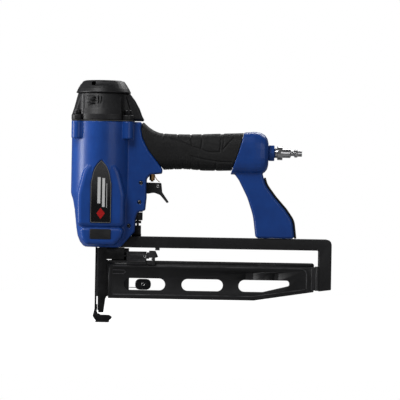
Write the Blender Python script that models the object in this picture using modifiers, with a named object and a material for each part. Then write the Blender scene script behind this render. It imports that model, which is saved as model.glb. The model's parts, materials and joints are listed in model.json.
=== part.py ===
"""Air-driven finish nailer with a straight magazine, as separate pieces at rest.

Lengths are in millimetres here and become metres in the meshes. X runs back along the magazine, Z is
up along the driver and Y = 0 is the tool's middle plane. The shapes are drawn from the point under
the driver at the contact foot's lowest face. The world's origin is the middle of the hand grip.
"""

import math

import bmesh
import bpy
from mathutils import Matrix, Vector

MM = 0.001
GAP = 0.3  # clearance between pieces that touch
RUN = 0.4  # clearance round pieces that slide or turn
ROUND = 24  # sides of a middle-sized round piece
BIG_ROUND = 36  # sides of the barrel and what fits it

# Heights of the main joints between the pieces
HOUSING_BOTTOM = 87.0
HOUSING_TOP = 232.0
CAP_TOP = HOUSING_TOP + 32.7
LID_TOP = CAP_TOP + 15.1
POCKET_TOP = 112.0  # ceiling of the pocket that holds the nose
CHAMBER_FLOOR = 118.0  # floor of the cylinder chamber
CHAMBER_WAIST = 145.0  # the air chamber round the sleeve starts here

# Barrel
BARREL_R = 36.0
BORE_R = 23.0
SLEEVE_R = BORE_R + 3.5
CHAMBER_R = SLEEVE_R + 4.5
BARREL_WAIST = 150.0  # the barrel narrows below this height
LUG_H = 20.0
LUG_X, LUG_Y, LUG_R = 29.0, 24.0, 6.6
BOLT_R, BOLT_HEAD_R = 2.5, 4.4
BOLT_REACH = 13.5  # how far a bolt goes into the housing
GASKET_T = 0.9
FLANGE_T = 6.0

# Driver
STROKE = 82.0
PISTON_T = 10.0
BUMPER_T = 12.0
BLADE_X, BLADE_Y = 1.1, 1.5

# Web and grip
GRIP_MIDDLE = (105.0, 199.0)
WEB_HALF = 20.0
SLOT_HALF = 9.0
CORE_HALF = 14.0
CORE_Z = 199.0
CORE_HALF_Z = 17.0
CORE_END = 166.0
AIRWAY_R = 10.5
GRIP_HALF = 19.0
TAIL_HALF = 20.5
LEG_HALF = 12.0

# Magazine
BAR_HALF = 10.0
BAR_BOTTOM, BAR_TOP = 87.0, 100.0
BAR_FRONT, BAR_BACK = 7.2, 267.0
UPRIGHT_X = BAR_BACK - 15.0
UPRIGHT_BOTTOM = 41.7
RAIL_HALF = 6.5
RAIL_TOP, RAIL_BOTTOM = 72.0, 28.0
RAIL_FRONT, RAIL_BACK = 9.0, BAR_BACK - 20.0
BAY_BACK = RAIL_BACK - 7.0  # rear wall of the pusher bay
NAIL_HALF = 1.8
BAY_HALF = 4.8
SLOT_Z = 44.6
SLOT_R = 7.0

# Nose and contact arm
NOSE_HALF = 8.5
NOSE_BACK = 6.6
PLATE_T = 2.0
CONTACT_TRAVEL = 6.5
ARM_Y = BAR_HALF + GAP
POCKET_HALF = 13.0
WHEEL_X, WHEEL_R = 42.0, 5.6
WHEEL_LOW, WHEEL_HIGH = 118.6, 127.8
STUD_R = 1.45

# Pins and trigger
PIN_R = 2.0
LITTLE_PIN_R = 1.2
TRIGGER_PIVOT = (45.4, 161.9)
UPPER_PIN = (43.9, 139.5)
LOWER_PIN = (32.1, 112.1)
TRIGGER_HALF = 7.4
LEVER_HALF = 3.1
LEVER_PIVOT = (64.5, 158.5)
STEM_X = 57.8
VALVE_BODY_R = 7.0

for leftover in list(bpy.data.objects):
    bpy.data.objects.remove(leftover, do_unlink=True)

PARTS = bpy.data.collections.new("finish_nailer")
CUTTERS = bpy.data.collections.new("cutters")
CUTTERS.hide_render = True
bpy.context.scene.collection.children.link(PARTS)
bpy.context.scene.collection.children.link(CUTTERS)


def empty(name, place, parent=None):
    """A frame that pieces hang on."""
    made = bpy.data.objects.new(name, None)
    PARTS.objects.link(made)
    made.location = [v * MM for v in place]
    made.parent = parent
    return made


# The world's origin is the middle of the hand grip, and every shape below is drawn from the foot.
TOOL = empty("tool", (-GRIP_MIDDLE[0], 0, -GRIP_MIDDLE[1]))


def finish(name, colour, roughness, metallic=0.0):
    """A material with one Principled BSDF."""
    made = bpy.data.materials.new(name)
    made.use_nodes = True
    shader = made.node_tree.nodes["Principled BSDF"]
    shader.inputs["Base Color"].default_value = (*colour, 1.0)
    shader.inputs["Roughness"].default_value = roughness
    shader.inputs["Metallic"].default_value = metallic
    made.diffuse_color = (*colour, 1.0)
    return made


BLUE = finish("blue_enamel", (0.012, 0.055, 0.26), 0.38)
BLACK = finish("black_coat", (0.018, 0.018, 0.020), 0.42)
RUBBER = finish("black_rubber", (0.012, 0.012, 0.013), 0.75)
STEEL = finish("dark_steel", (0.10, 0.10, 0.11), 0.35, 1.0)
BRIGHT = finish("bright_steel", (0.62, 0.62, 0.64), 0.18, 1.0)
BRASS = finish("brass", (0.62, 0.38, 0.16), 0.3, 1.0)
PLASTIC = finish("black_plastic", (0.015, 0.015, 0.016), 0.5)
GASKET = finish("gasket_grey", (0.35, 0.35, 0.34), 0.7)


def link(name, mesh, made, collection=PARTS):
    """Puts a mesh in the scene as one named piece."""
    piece = bpy.data.objects.new(name, mesh)
    collection.objects.link(piece)
    piece.parent = TOOL
    if made is not None:
        mesh.materials.clear()
        mesh.materials.append(made)
    if collection is CUTTERS:
        piece.hide_render = True
        piece.display_type = "WIRE"
    return piece


def from_bmesh(name, work, made, collection=PARTS):
    mesh = bpy.data.meshes.new(name)
    work.to_mesh(mesh)
    work.free()
    mesh.shade_smooth()
    mesh.set_sharp_from_angle(angle=math.radians(35))
    return link(name, mesh, made, collection)


def box(name, low, high, made=None, collection=PARTS):
    """A block between two corners."""
    work = bmesh.new()
    size = [(b - a) * MM for a, b in zip(low, high)]
    middle = [(a + b) / 2 * MM for a, b in zip(low, high)]
    bmesh.ops.create_cube(work, size=1.0)
    bmesh.ops.scale(work, vec=size, verts=work.verts)
    bmesh.ops.translate(work, vec=middle, verts=work.verts)
    return from_bmesh(name, work, made, collection)


TURN = {
    "X": Matrix.Rotation(math.radians(90), 4, "Y"),
    "Y": Matrix.Rotation(math.radians(-90), 4, "X"),
    "Z": Matrix.Identity(4),
}


def rod(name, start, length, radius, axis="Z", made=None, collection=PARTS, end_radius=None, sides=ROUND):
    """A cylinder or cone that starts at a point and runs along an axis."""
    work = bmesh.new()
    top = radius if end_radius is None else end_radius
    bmesh.ops.create_cone(
        work, cap_ends=True, segments=sides, radius1=radius * MM, radius2=top * MM, depth=length * MM
    )
    bmesh.ops.translate(work, vec=(0, 0, length / 2 * MM), verts=work.verts)
    bmesh.ops.transform(work, matrix=TURN[axis], verts=work.verts)
    bmesh.ops.translate(work, vec=[v * MM for v in start], verts=work.verts)
    return from_bmesh(name, work, made, collection)


def fillet(corners, steps=3):
    """Outline points from corners (x, z, radius): each corner with a radius becomes an arc."""
    points = []
    count = len(corners)
    for i, (x, z, radius) in enumerate(corners):
        here = Vector((x, z))
        if radius <= 0:
            points.append(here)
            continue
        back = (Vector(corners[i - 1][:2]) - here).normalized()
        ahead = (Vector(corners[(i + 1) % count][:2]) - here).normalized()
        half = back.angle(ahead) / 2
        reach = radius / math.tan(half)
        centre = here + (back + ahead).normalized() * (radius / math.sin(half))
        first = here + back * reach - centre
        last = here + ahead * reach - centre
        sweep = math.atan2(first.x * last.y - first.y * last.x, first.dot(last))
        for k in range(steps + 1):
            angle = sweep * k / steps
            cosine, sine = math.cos(angle), math.sin(angle)
            points.append(centre + Vector((first.x * cosine - first.y * sine, first.x * sine + first.y * cosine)))
    return points


def plate(name, corners, low_y, high_y, made=None, collection=PARTS, bevel=0.0, steps=3, clamp=True):
    """A flat side outline in X and Z, with rounded corners, as thick as from low_y to high_y."""
    curve = bpy.data.curves.new(name, "CURVE")
    curve.dimensions = "2D"
    curve.fill_mode = "BOTH"
    curve.extrude = (high_y - low_y) / 2 * MM
    spline = curve.splines.new("POLY")
    points = fillet(corners, steps)
    spline.points.add(len(points) - 1)
    for slot, point in zip(spline.points, points):
        slot.co = (point.x * MM, point.y * MM, 0, 1)
    spline.use_cyclic_u = True
    shape = bpy.data.objects.new(name + "_outline", curve)
    shape.rotation_euler = (math.radians(90), 0, 0)
    shape.location = (0, (low_y + high_y) / 2 * MM, 0)
    bpy.context.scene.collection.objects.link(shape)
    bpy.context.view_layer.update()
    seen = shape.evaluated_get(bpy.context.evaluated_depsgraph_get())
    mesh = bpy.data.meshes.new_from_object(seen)
    place = shape.matrix_world.copy()
    bpy.data.objects.remove(shape, do_unlink=True)
    work = bmesh.new()
    work.from_mesh(mesh)
    bmesh.ops.remove_doubles(work, verts=work.verts, dist=1e-6)
    bmesh.ops.dissolve_limit(work, angle_limit=0.001, verts=work.verts, edges=work.edges)
    bmesh.ops.transform(work, matrix=place, verts=work.verts)
    bmesh.ops.recalc_face_normals(work, faces=work.faces)
    bpy.data.meshes.remove(mesh)
    piece = from_bmesh(name, work, made, collection)
    if bevel:
        round_edges(piece, bevel, 2 if bevel > 2.5 else 1, clamp=clamp)
    return piece


def loft(name, sections, power, made=None, collection=CUTTERS, sides=28):
    """A body along X through rounded sections (x, lowest z, highest z, half width)."""
    work = bmesh.new()
    rings = []
    for x, low, high, half in sections:
        ring = []
        for k in range(sides):
            angle = 2 * math.pi * (k + 0.5) / sides
            cosine, sine = math.cos(angle), math.sin(angle)
            y = half * math.copysign(abs(cosine) ** (2 / power), cosine)
            z = (low + high) / 2 + (high - low) / 2 * math.copysign(abs(sine) ** (2 / power), sine)
            ring.append(work.verts.new((x * MM, y * MM, z * MM)))
        rings.append(ring)
    for near, far in zip(rings, rings[1:]):
        for k in range(sides):
            after = (k + 1) % sides
            work.faces.new((near[k], near[after], far[after], far[k]))
    work.faces.new(rings[0][::-1])
    work.faces.new(rings[-1])
    bmesh.ops.recalc_face_normals(work, faces=work.faces)
    return from_bmesh(name, work, made, collection)


def turned(name, profile, centre, axis="Z", made=None, collection=PARTS, sides=ROUND):
    """A turned shape: its profile (radius, height) runs from the top down the outer side."""
    mesh = bpy.data.meshes.new(name)
    work = bmesh.new()
    corners = [work.verts.new((radius * MM, 0, height * MM)) for radius, height in profile]
    for first, second in zip(corners, corners[1:]):
        work.edges.new((first, second))
    if profile[0][0] > 0 and profile[-1][0] > 0:
        work.edges.new((corners[-1], corners[0]))
    work.to_mesh(mesh)
    work.free()
    raw = bpy.data.objects.new(name + "_profile", mesh)
    bpy.context.scene.collection.objects.link(raw)
    screw = raw.modifiers.new("turn", "SCREW")
    screw.steps = sides
    screw.render_steps = sides
    screw.use_merge_vertices = True
    screw.merge_threshold = 0.00001
    bpy.context.view_layer.update()
    seen = raw.evaluated_get(bpy.context.evaluated_depsgraph_get())
    solid = bpy.data.meshes.new_from_object(seen)
    bpy.data.objects.remove(raw, do_unlink=True)
    work = bmesh.new()
    work.from_mesh(solid)
    bmesh.ops.remove_doubles(work, verts=work.verts, dist=1e-6)
    bmesh.ops.recalc_face_normals(work, faces=work.faces)
    bmesh.ops.transform(work, matrix=TURN[axis], verts=work.verts)
    bmesh.ops.translate(work, vec=[v * MM for v in centre], verts=work.verts)
    bpy.data.meshes.remove(solid)
    return from_bmesh(name, work, made, collection)


def round_edges(piece, width, segments=1, angle=35, clamp=True):
    bevel = piece.modifiers.new("round", "BEVEL")
    bevel.use_clamp_overlap = clamp
    bevel.width = width * MM
    bevel.segments = segments
    bevel.limit_method = "ANGLE"
    bevel.angle_limit = math.radians(angle)


def combine(piece, other, operation):
    """Joins another shape to a piece, or cuts it away, and keeps the other as a hidden guide."""
    for holder in list(other.users_collection):
        holder.objects.unlink(other)
    CUTTERS.objects.link(other)
    other.hide_render = True
    other.display_type = "WIRE"
    work = piece.modifiers.new(other.name, "BOOLEAN")
    work.operation = operation
    work.object = other
    work.solver = "EXACT"
    return piece


def join(piece, *others):
    for other in others:
        combine(piece, other, "UNION")
    return piece


def cut(piece, *others):
    for other in others:
        combine(piece, other, "DIFFERENCE")
    return piece


def guide_box(name, low, high):
    return box(name, low, high, collection=CUTTERS)


def guide_rod(name, start, length, radius, axis="Z", sides=ROUND):
    return rod(name, start, length, radius, axis, collection=CUTTERS, sides=sides)


def tube(name, points, radius, made, collection=PARTS):
    """A wire: a curve with round section and filled ends, made a mesh."""
    curve = bpy.data.curves.new(name, "CURVE")
    curve.dimensions = "3D"
    curve.bevel_depth = radius * MM
    curve.bevel_resolution = 2
    curve.use_fill_caps = True
    spline = curve.splines.new("POLY")
    spline.points.add(len(points) - 1)
    for slot, point in zip(spline.points, points):
        slot.co = (*[v * MM for v in point], 1)
    shape = bpy.data.objects.new(name + "_path", curve)
    bpy.context.scene.collection.objects.link(shape)
    bpy.context.view_layer.update()
    seen = shape.evaluated_get(bpy.context.evaluated_depsgraph_get())
    mesh = bpy.data.meshes.new_from_object(seen)
    bpy.data.objects.remove(shape, do_unlink=True)
    work = bmesh.new()
    work.from_mesh(mesh)
    bmesh.ops.remove_doubles(work, verts=work.verts, dist=1e-6)
    bmesh.ops.recalc_face_normals(work, faces=work.faces)
    bpy.data.meshes.remove(mesh)
    return from_bmesh(name, work, made, collection)


def coil(name, centre, radius, wire, low, high, turns, made):
    """A compression spring round the Z axis."""
    per_turn = 9
    count = int(turns * per_turn)
    points = []
    for i in range(count + 1):
        angle = 2 * math.pi * i / per_turn
        height = low + wire + (high - low - 2 * wire) * i / count
        points.append((centre[0] + radius * math.cos(angle), centre[1] + radius * math.sin(angle), height))
    return tube(name, points, wire, made)


def offset(points, distance, closed=False):
    """The same line of points, moved to its left by a distance."""
    moved = []
    last = len(points) - 1
    for i, (x, z) in enumerate(points):
        before = Vector(points[i - 1 if closed else max(i - 1, 0)])
        after = Vector(points[(i + 1) % (last + 1) if closed else min(i + 1, last)])
        here = Vector((x, z))
        normals = []
        for a, b in ((before, here), (here, after)):
            run = b - a
            if run.length > 0:
                normals.append(Vector((-run.y, run.x)).normalized())
        normal = sum(normals, Vector((0, 0))).normalized()
        stretch = distance / normal.dot(normals[0])
        moved.append((x + normal.x * stretch, z + normal.y * stretch))
    return moved


def sharp(points, radius=0.0):
    """Adds one corner radius to plain points."""
    return [(x, z, radius) for x, z in points]


def on_joint(name, place, pieces, parent=None):
    """Hangs pieces on an empty that stands on their joint's axis."""
    axis = empty(name, place, parent or TOOL)
    if parent is not None:
        start = Vector((0, 0, 0))
        above = parent
        while above is not TOOL:
            start += above.location
            above = above.parent
        axis.location = Vector([v * MM for v in place]) - start
    for piece in pieces:
        piece.data.transform(Matrix.Translation([-v * MM for v in place]))
        piece.parent = axis
    return axis


SIDES = (("left", -1), ("right", 1))
CORNERS = [(sx * LUG_X, sy * LUG_Y) for sx in (-1, 1) for sy in (-1, 1)]
CAP_BOTTOM = HOUSING_TOP + GASKET_T + 2 * GAP
LID_BOTTOM = CAP_TOP + GAP
LID_T = 3.2

# --- Housing: one casting of barrel, web and hollow grip core ---------------------------------

# The line where the rubber grip meets the web, from the cap down to the trigger.
GRIP_LINE = [(45.5, HOUSING_TOP), (44.2, 224.0), (46.4, 213.0), (53.9, 198.6), (69.6, 178.5)]
BARREL = [
    (BARREL_R, HOUSING_TOP), (BARREL_R, BARREL_WAIST), (35.2, 146.0), (33.4, 141.0), (31.6, 131.0), (29.2, 110.0),
    (27.5, 100.0), (24.7, 93.0), (21.0, 88.4), (18.4, HOUSING_BOTTOM),
]
PAD_Y, LOW_PAD_Y = 34.4, 33.2
ARCH = [
    (-27, 110.4, 5), (-27.5, 148, 30), (-20, 179, 30), (0, 198.5, 10), (20, 179, 30), (27.5, 148, 30), (27, 110.4, 5),
]
LABEL = [
    (-12, 115, 1.5), (-12, 160, 18), (-9.3, 173.8, 25), (-5.7, 181.4, 20), (0, 187.2, 0.8), (5.7, 181.4, 20),
    (9.3, 173.8, 25), (12, 160, 18), (12, 115, 1.5),
]
BADGE = [(-12, 96.5, 1), (-12, 108, 1), (12, 108, 1), (12, 96.5, 1)]
LABEL_T = 1.0
RECESS = 0.9

housing = turned("housing", [(0, HOUSING_TOP), *BARREL, (0, HOUSING_BOTTOM)], (0, 0, 0), made=BLUE, sides=BIG_ROUND)
web = plate(
    "web",
    [
        (0, HOUSING_TOP, 0), *sharp(GRIP_LINE[:1]), *sharp(GRIP_LINE[1:4], 12), (69.6, 178.5, 3),
        (69.2, 173.0, 1.5), (56.0, 171.8, 3), (51.4, 166.5, 3), (51.6, 145.0, 6), (50.2, 130.0, 1.5),
        (42.0, 128.0, 3), (39.4, 120.0, 5), (39.0, 105.8, 4), (22.8, HOUSING_BOTTOM, 5), (0, HOUSING_BOTTOM, 0),
    ],
    -WEB_HALF, WEB_HALF, collection=CUTTERS, bevel=2.0,
)
core = box(
    "core", (35, -CORE_HALF, CORE_Z - CORE_HALF_Z), (CORE_END, CORE_HALF, CORE_Z + CORE_HALF_Z), collection=CUTTERS
)
round_edges(core, 5.0, 2)
arch = plate("arch", ARCH, -PAD_Y, PAD_Y, collection=CUTTERS, bevel=4.5, steps=3, clamp=False)
low_pad = plate(
    "low_pad", [(-24.5, 109.9, 4), (-22, 96, 6), (-16.5, 89.6, 5), (17, 89.6, 5), (25, 99, 5), (27, 109.9, 4)],
    -LOW_PAD_Y, LOW_PAD_Y, collection=CUTTERS, bevel=3.6, clamp=False,
)
join(housing, web, core, arch, low_pad)
for i, (x, y) in enumerate(CORNERS):
    lug = rod(f"lug_{i}", (x, y, HOUSING_TOP - LUG_H), LUG_H, LUG_R, collection=CUTTERS, sides=16)
    join(housing, lug)
cut(
    housing,
    guide_rod("chamber", (0, 0, CHAMBER_WAIST), HOUSING_TOP, CHAMBER_R, sides=BIG_ROUND),
    guide_rod("sleeve_seat", (0, 0, CHAMBER_FLOOR), 60, SLEEVE_R + 0.5, sides=BIG_ROUND),
    guide_rod("driver_hole", (0, 0, 100), 30, 4.5),
    guide_rod("airway", (15, 0, CORE_Z), 200, AIRWAY_R, "X"),
    guide_box("nose_pocket", (-9, -POCKET_HALF, 70), (60, POCKET_HALF, POCKET_TOP)),
    guide_box("trigger_slot", (38.5, -SLOT_HALF, 100), (56, SLOT_HALF, 168)),
    guide_box("arm_slot", (34.2, -2.0, 100), (45, 2.0, 138.4)),
    guide_rod("wheel_slot", (WHEEL_X, 0, 110), 25.5, WHEEL_R + RUN),
    guide_rod("valve_bore", (STEM_X, 0, 160), 31.9, VALVE_BODY_R + GAP),
    guide_rod("pin_hole_1", (TRIGGER_PIVOT[0], -40, TRIGGER_PIVOT[1]), 80, PIN_R + GAP, "Y", 20),
    guide_rod("pin_hole_2", (UPPER_PIN[0], -40, UPPER_PIN[1]), 80, PIN_R + GAP, "Y", 20),
    guide_rod("pin_hole_3", (LOWER_PIN[0], -40, LOWER_PIN[1]), 80, PIN_R + GAP, "Y", 20),
)
for i, (x, y) in enumerate(CORNERS):
    cut(housing, guide_rod(f"bolt_hole_{i}", (x, y, HOUSING_TOP - BOLT_REACH - 0.5), 30, BOLT_R + GAP, sides=12))
for side, sign in SIDES:
    for name, shape, face in (("label", LABEL, PAD_Y), ("badge", BADGE, LOW_PAD_Y)):
        room = sorted((sign * (face - RECESS), sign * (face + 8)))
        line = offset([(x, z) for x, z, _ in shape], GAP, closed=True)
        grown = [(x, z, corner[2]) for (x, z), corner in zip(line, shape)]
        cut(housing, plate(f"{name}_recess_{side}", grown, *room, collection=CUTTERS, steps=3))

for side, sign in SIDES:
    low, high = sorted((sign * (PAD_Y - RECESS + GAP), sign * (PAD_Y - RECESS + GAP + LABEL_T)))
    plate(f"label_plate_{side}", LABEL, low, high, BLACK, steps=3)
    low, high = sorted((sign * (LOW_PAD_Y - RECESS + GAP), sign * (LOW_PAD_Y - RECESS + GAP + LABEL_T)))
    plate(f"badge_{side}", BADGE, low, high, BLACK, steps=2)

# --- Cap, lid and bolts -----------------------------------------------------------------------

cap_gasket = rod("cap_gasket", (0, 0, HOUSING_TOP + GAP), GASKET_T, BARREL_R + 0.6, made=GASKET, sides=BIG_ROUND)
cut(cap_gasket, guide_rod("gasket_bore", (0, 0, HOUSING_TOP - 5), 10, CHAMBER_R, sides=BIG_ROUND))
for i, (x, y) in enumerate(CORNERS):
    tab = guide_rod(f"gasket_tab_{i}", (x, y, HOUSING_TOP + GAP), GASKET_T, LUG_R, sides=16)
    join(cap_gasket, tab)
for i, (x, y) in enumerate(CORNERS):
    cut(cap_gasket, guide_rod(f"gasket_hole_{i}", (x, y, HOUSING_TOP - 5), 10, BOLT_R + GAP, sides=12))

CAP_WALL = [
    (29.5, CAP_TOP), (32.0, CAP_BOTTOM + 21.8), (34.4, CAP_BOTTOM + 12.9), (36.4, CAP_BOTTOM + 6.5), (36.6, CAP_BOTTOM),
]
VALVE_ROOM_TOP = CAP_TOP - 10.9
cap = turned("cap", [(0, CAP_TOP), *CAP_WALL, (0, CAP_BOTTOM)], (0, 0, 0), made=BLACK, sides=BIG_ROUND)
hump = plate(
    "hump",
    [
        (0, CAP_TOP, 0), (31.0, CAP_TOP, 2), (36.7, CAP_BOTTOM + 23.7, 6), (42.0, CAP_BOTTOM + 14.2, 10),
        (45.3, CAP_BOTTOM + 5.4, 8),
        (48.6, CAP_BOTTOM, 0), (0, CAP_BOTTOM, 0),
    ],
    -13, 13, collection=CUTTERS, bevel=2.5,
)
join(cap, hump)
for i, (x, y) in enumerate(CORNERS):
    cut(cap, guide_rod(f"pocket_{i}", (x, y, CAP_BOTTOM - 3), 60, 8.2, sides=20))
    join(cap, guide_rod(f"cap_lug_{i}", (x, y, CAP_BOTTOM), FLANGE_T, LUG_R + 0.2, sides=16))
    ear = guide_rod(f"cap_ear_{i}", (x * 0.85, y * 0.85, CAP_BOTTOM), FLANGE_T, 6.0, sides=12)
    join(cap, ear)
cut(cap, guide_rod("valve_room", (0, 0, CAP_BOTTOM - 5), VALVE_ROOM_TOP - CAP_BOTTOM + 5, SLEEVE_R + 0.3, sides=BIG_ROUND))
for i, (x, y) in enumerate(CORNERS):
    cut(cap, guide_rod(f"cap_bolt_hole_{i}", (x, y, CAP_BOTTOM - 5), 40, BOLT_R + GAP, sides=12))
for i in range(3):
    angle = math.radians(90 + 120 * i)
    place = (16 * math.cos(angle), 16 * math.sin(angle), VALVE_ROOM_TOP - 4)
    cut(cap, guide_rod(f"exhaust_port_{i}", place, 30, 5.0, sides=20))
cut(cap, guide_rod("lid_screw_hole", (0, 0, VALVE_ROOM_TOP - 4), 30, 2.0, sides=16))

HEAD_Z = CAP_BOTTOM + FLANGE_T + GAP
for i, (x, y) in enumerate(CORNERS):
    turned(
        f"cap_bolt_{i + 1}",
        [
            (0, HEAD_Z + 2.8), (2.0, HEAD_Z + 2.8), (2.0, HEAD_Z + 5.0), (BOLT_HEAD_R, HEAD_Z + 5.0),
            (BOLT_HEAD_R, HEAD_Z), (BOLT_R, HEAD_Z), (BOLT_R, HOUSING_TOP - BOLT_REACH), (0, HOUSING_TOP - BOLT_REACH),
        ],
        (x, y, 0), made=STEEL, sides=12,
    )

deflector = turned(
    "exhaust_deflector",
    [
        (5.2, LID_TOP - 2.2), (5.2, LID_TOP), (21.0, LID_TOP - 0.2), (24.0, LID_TOP - 1.2), (26.5, LID_TOP - 4.6),
        (29.6, LID_TOP - 9.6), (31.5, LID_TOP - 13.6), (31.5, LID_BOTTOM), (27.5, LID_BOTTOM), (25.0, LID_TOP - 7.8),
        (21.0, LID_TOP - LID_T), (8.0, LID_TOP - LID_T), (8.0, LID_BOTTOM), (2.5, LID_BOTTOM), (2.5, LID_TOP - 2.2),
    ],
    (0, 0, 0), made=BLACK, sides=BIG_ROUND,
)
cut(deflector, guide_box("exhaust_mouth", (-13, -45, LID_TOP - 6.4), (13, -15, LID_TOP - 1.8)))
turned(
    "deflector_screw",
    [(0, LID_TOP - 0.2), (4.6, LID_TOP - 0.2), (4.6, LID_TOP - 1.9), (1.7, LID_TOP - 1.9), (1.7, CAP_TOP - 9.7), (0, CAP_TOP - 9.7)],
    (0, 0, 0), made=STEEL, sides=20,
)

# --- Cylinder, piston, driver and head valve --------------------------------------------------

SLEEVE_TOP = HOUSING_TOP - 8.0
sleeve = rod(
    "cylinder_sleeve", (0, 0, CHAMBER_FLOOR + GAP), SLEEVE_TOP - CHAMBER_FLOOR - GAP, SLEEVE_R, made=BRIGHT, sides=BIG_ROUND
)
cut(sleeve, guide_rod("bore", (0, 0, 100), HOUSING_TOP, BORE_R, sides=BIG_ROUND))
bumper = rod("piston_bumper", (0, 0, CHAMBER_FLOOR + GAP), BUMPER_T - GAP, BORE_R - 0.5, made=RUBBER)
cut(bumper, guide_rod("bumper_hole", (0, 0, 100), 60, 4.5, sides=20))

PISTON_Z = CHAMBER_FLOOR + BUMPER_T + GAP + STROKE
PISTON_TOP = PISTON_Z + PISTON_T
RING_LOW, RING_HIGH = PISTON_Z + 3.6, PISTON_Z + 6.2
RING_SEAT = BORE_R - 3.0
piston = turned(
    "piston",
    [
        (0, PISTON_TOP), (BORE_R - 0.6, PISTON_TOP), (BORE_R - 0.6, RING_HIGH + GAP),
        (RING_SEAT, RING_HIGH + GAP), (RING_SEAT, RING_LOW - GAP), (BORE_R - 0.6, RING_LOW - GAP), (BORE_R - 0.6, PISTON_Z), (0, PISTON_Z),
    ],
    (0, 0, 0), made=BRIGHT, sides=BIG_ROUND,
)
piston_ring = turned(
    "piston_ring",
    [(RING_SEAT + RUN, RING_HIGH), (BORE_R - 0.35, RING_HIGH), (BORE_R - 0.35, RING_LOW), (RING_SEAT + RUN, RING_LOW)],
    (0, 0, 0), made=RUBBER, sides=BIG_ROUND,
)
TIP_Z = 11.0
blade = box(
    "driver_blade", (-BLADE_X, -BLADE_Y, TIP_Z + STROKE), (BLADE_X, BLADE_Y, PISTON_Z - GAP), STEEL
)
VALVE_SEAT = SLEEVE_TOP + GAP
VALVE_TOP = VALVE_ROOM_TOP - 9.8
head_valve = turned(
    "head_valve",
    [
        (9.0, VALVE_TOP), (SLEEVE_R - 0.2, VALVE_TOP), (SLEEVE_R - 0.2, VALVE_TOP - 8), (SLEEVE_R - 1.5, VALVE_TOP - 9),
        (SLEEVE_R - 1.5, VALVE_SEAT), (BORE_R - 2.5, VALVE_SEAT), (BORE_R - 2.5, VALVE_TOP - 6), (9.0, VALVE_TOP - 6),
    ],
    (0, 0, 0), made=PLASTIC, sides=BIG_ROUND,
)
coil("head_valve_spring", (0, 0), BORE_R - 2.5, 0.9, VALVE_TOP + GAP, VALVE_ROOM_TOP - GAP, 2.5, BRIGHT)

# --- Grip, tail bracket and air inlet ---------------------------------------------------------

TAIL_LINE = [(149.8, 178.2), (157.6, 200.4), (163.4, 221.6)]
sleeve_front = offset(GRIP_LINE, GAP)
GRIP_SECTIONS = [
    (38.0, 177.3, 237.5, 19.6), (46.1, 177.3, 233.7, 19.6), (50.0, 177.3, 229.6, 19.5), (54.0, 177.2, 226.2, 19.3),
    (59.5, 177.2, 222.7, 19.1), (66.0, 177.2, 220.2, 19.0), (78.0, 177.8, 219.3, 18.9), (95.7, 178.6, 219.1, 18.8),
    (116.5, 177.3, 219.7, 18.9), (135.0, 177.4, 220.6, 19.1), (150.0, 177.9, 221.2, 19.5), (170.0, 178.4, 222.0, 19.8),
]
BULB_SECTIONS = [
    (144.0, 173.4, 221.4, 20.3), (163.0, 173.4, 222.3, TAIL_HALF), (176.0, 173.5, 223.4, TAIL_HALF),
    (183.0, 174.0, 222.4, 20.0), (188.0, 176.3, 219.6, 18.4), (190.8, 180.0, 215.4, 15.6), (192.0, 184.6, 211.0, 12.4),
]
SECTION_POWER = 3.2
handle = loft("handle", GRIP_SECTIONS, SECTION_POWER)
grip = plate(
    "grip_sleeve",
    [
        (sleeve_front[0][0] + 0.1, HOUSING_TOP - 0.4, 0), (166.1, HOUSING_TOP - 0.4, 0), *sharp([TAIL_LINE[1]], 10),
        (146.2, 168.0, 0), (71.2, 168.0, 0), (71.2, 177.3, 0), *sharp(sleeve_front[3:0:-1], 12),
    ],
    -GRIP_HALF - 2, GRIP_HALF + 2, RUBBER,
)
combine(grip, handle, "INTERSECT")
grip_room = guide_box(
    "core_room", (30, -CORE_HALF - GAP, CORE_Z - CORE_HALF_Z - GAP),
    (CORE_END, CORE_HALF + GAP, CORE_Z + CORE_HALF_Z + GAP),
)
round_edges(grip_room, 4.6, 2)
cut(grip, grip_room)

tail_front = [(x + GAP * 1.4, z) for x, z in TAIL_LINE]
LEG_REAR = [(223.5, BAR_TOP + GAP), (221.0, 120.7), (212.5, 133.0), (199.9, 147.3), (189.3, 161.6), (185.9, 174.0)]
tail = plate(
    "tail_bracket",
    [
        (146.2 + GAP * 1.4, 168.0, 0), *sharp([tail_front[1]], 10), (167.4 + GAP * 1.4, 236.4, 0), (200.0, 236.4, 0),
        (200.0, 168.0, 0),
    ],
    -TAIL_HALF - 2, TAIL_HALF + 2, BLUE,
)
combine(tail, loft("bulb", BULB_SECTIONS, SECTION_POWER), "INTERSECT")
leg = plate(
    "leg",
    [
        (152.5, 190.0, 0), (151.0, 177.0, 4), (158.4, 167.3, 30), (168.8, 146.7, 50), (175.6, 126.1, 60),
        (178.9, BAR_TOP + GAP, 0), (*LEG_REAR[0], 0), *sharp(LEG_REAR[1:5], 20), (*LEG_REAR[5], 3), (184.0, 190.0, 0),
    ],
    -LEG_HALF, LEG_HALF, collection=CUTTERS, bevel=2.0, clamp=False,
)
join(tail, leg)
cut(
    tail,
    guide_box(
        "tail_room", (140, -CORE_HALF - GAP, CORE_Z - CORE_HALF_Z - GAP),
        (CORE_END + GAP + 2.0, CORE_HALF + GAP, CORE_Z + CORE_HALF_Z + GAP),
    ),
    guide_rod("inlet_hole", (150, 0, CORE_Z), 60, 8.3, "X", 24),
)
box(
    "tail_seal", (CORE_END + GAP, -CORE_HALF + 0.4, CORE_Z - CORE_HALF_Z + 0.4),
    (CORE_END + GAP + 1.4, CORE_HALF - 0.4, CORE_Z + CORE_HALF_Z - 0.4), RUBBER,
)
cut(bpy.data.objects["tail_seal"], guide_rod("seal_bore", (150, 0, CORE_Z), 60, AIRWAY_R, "X"))

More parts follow.
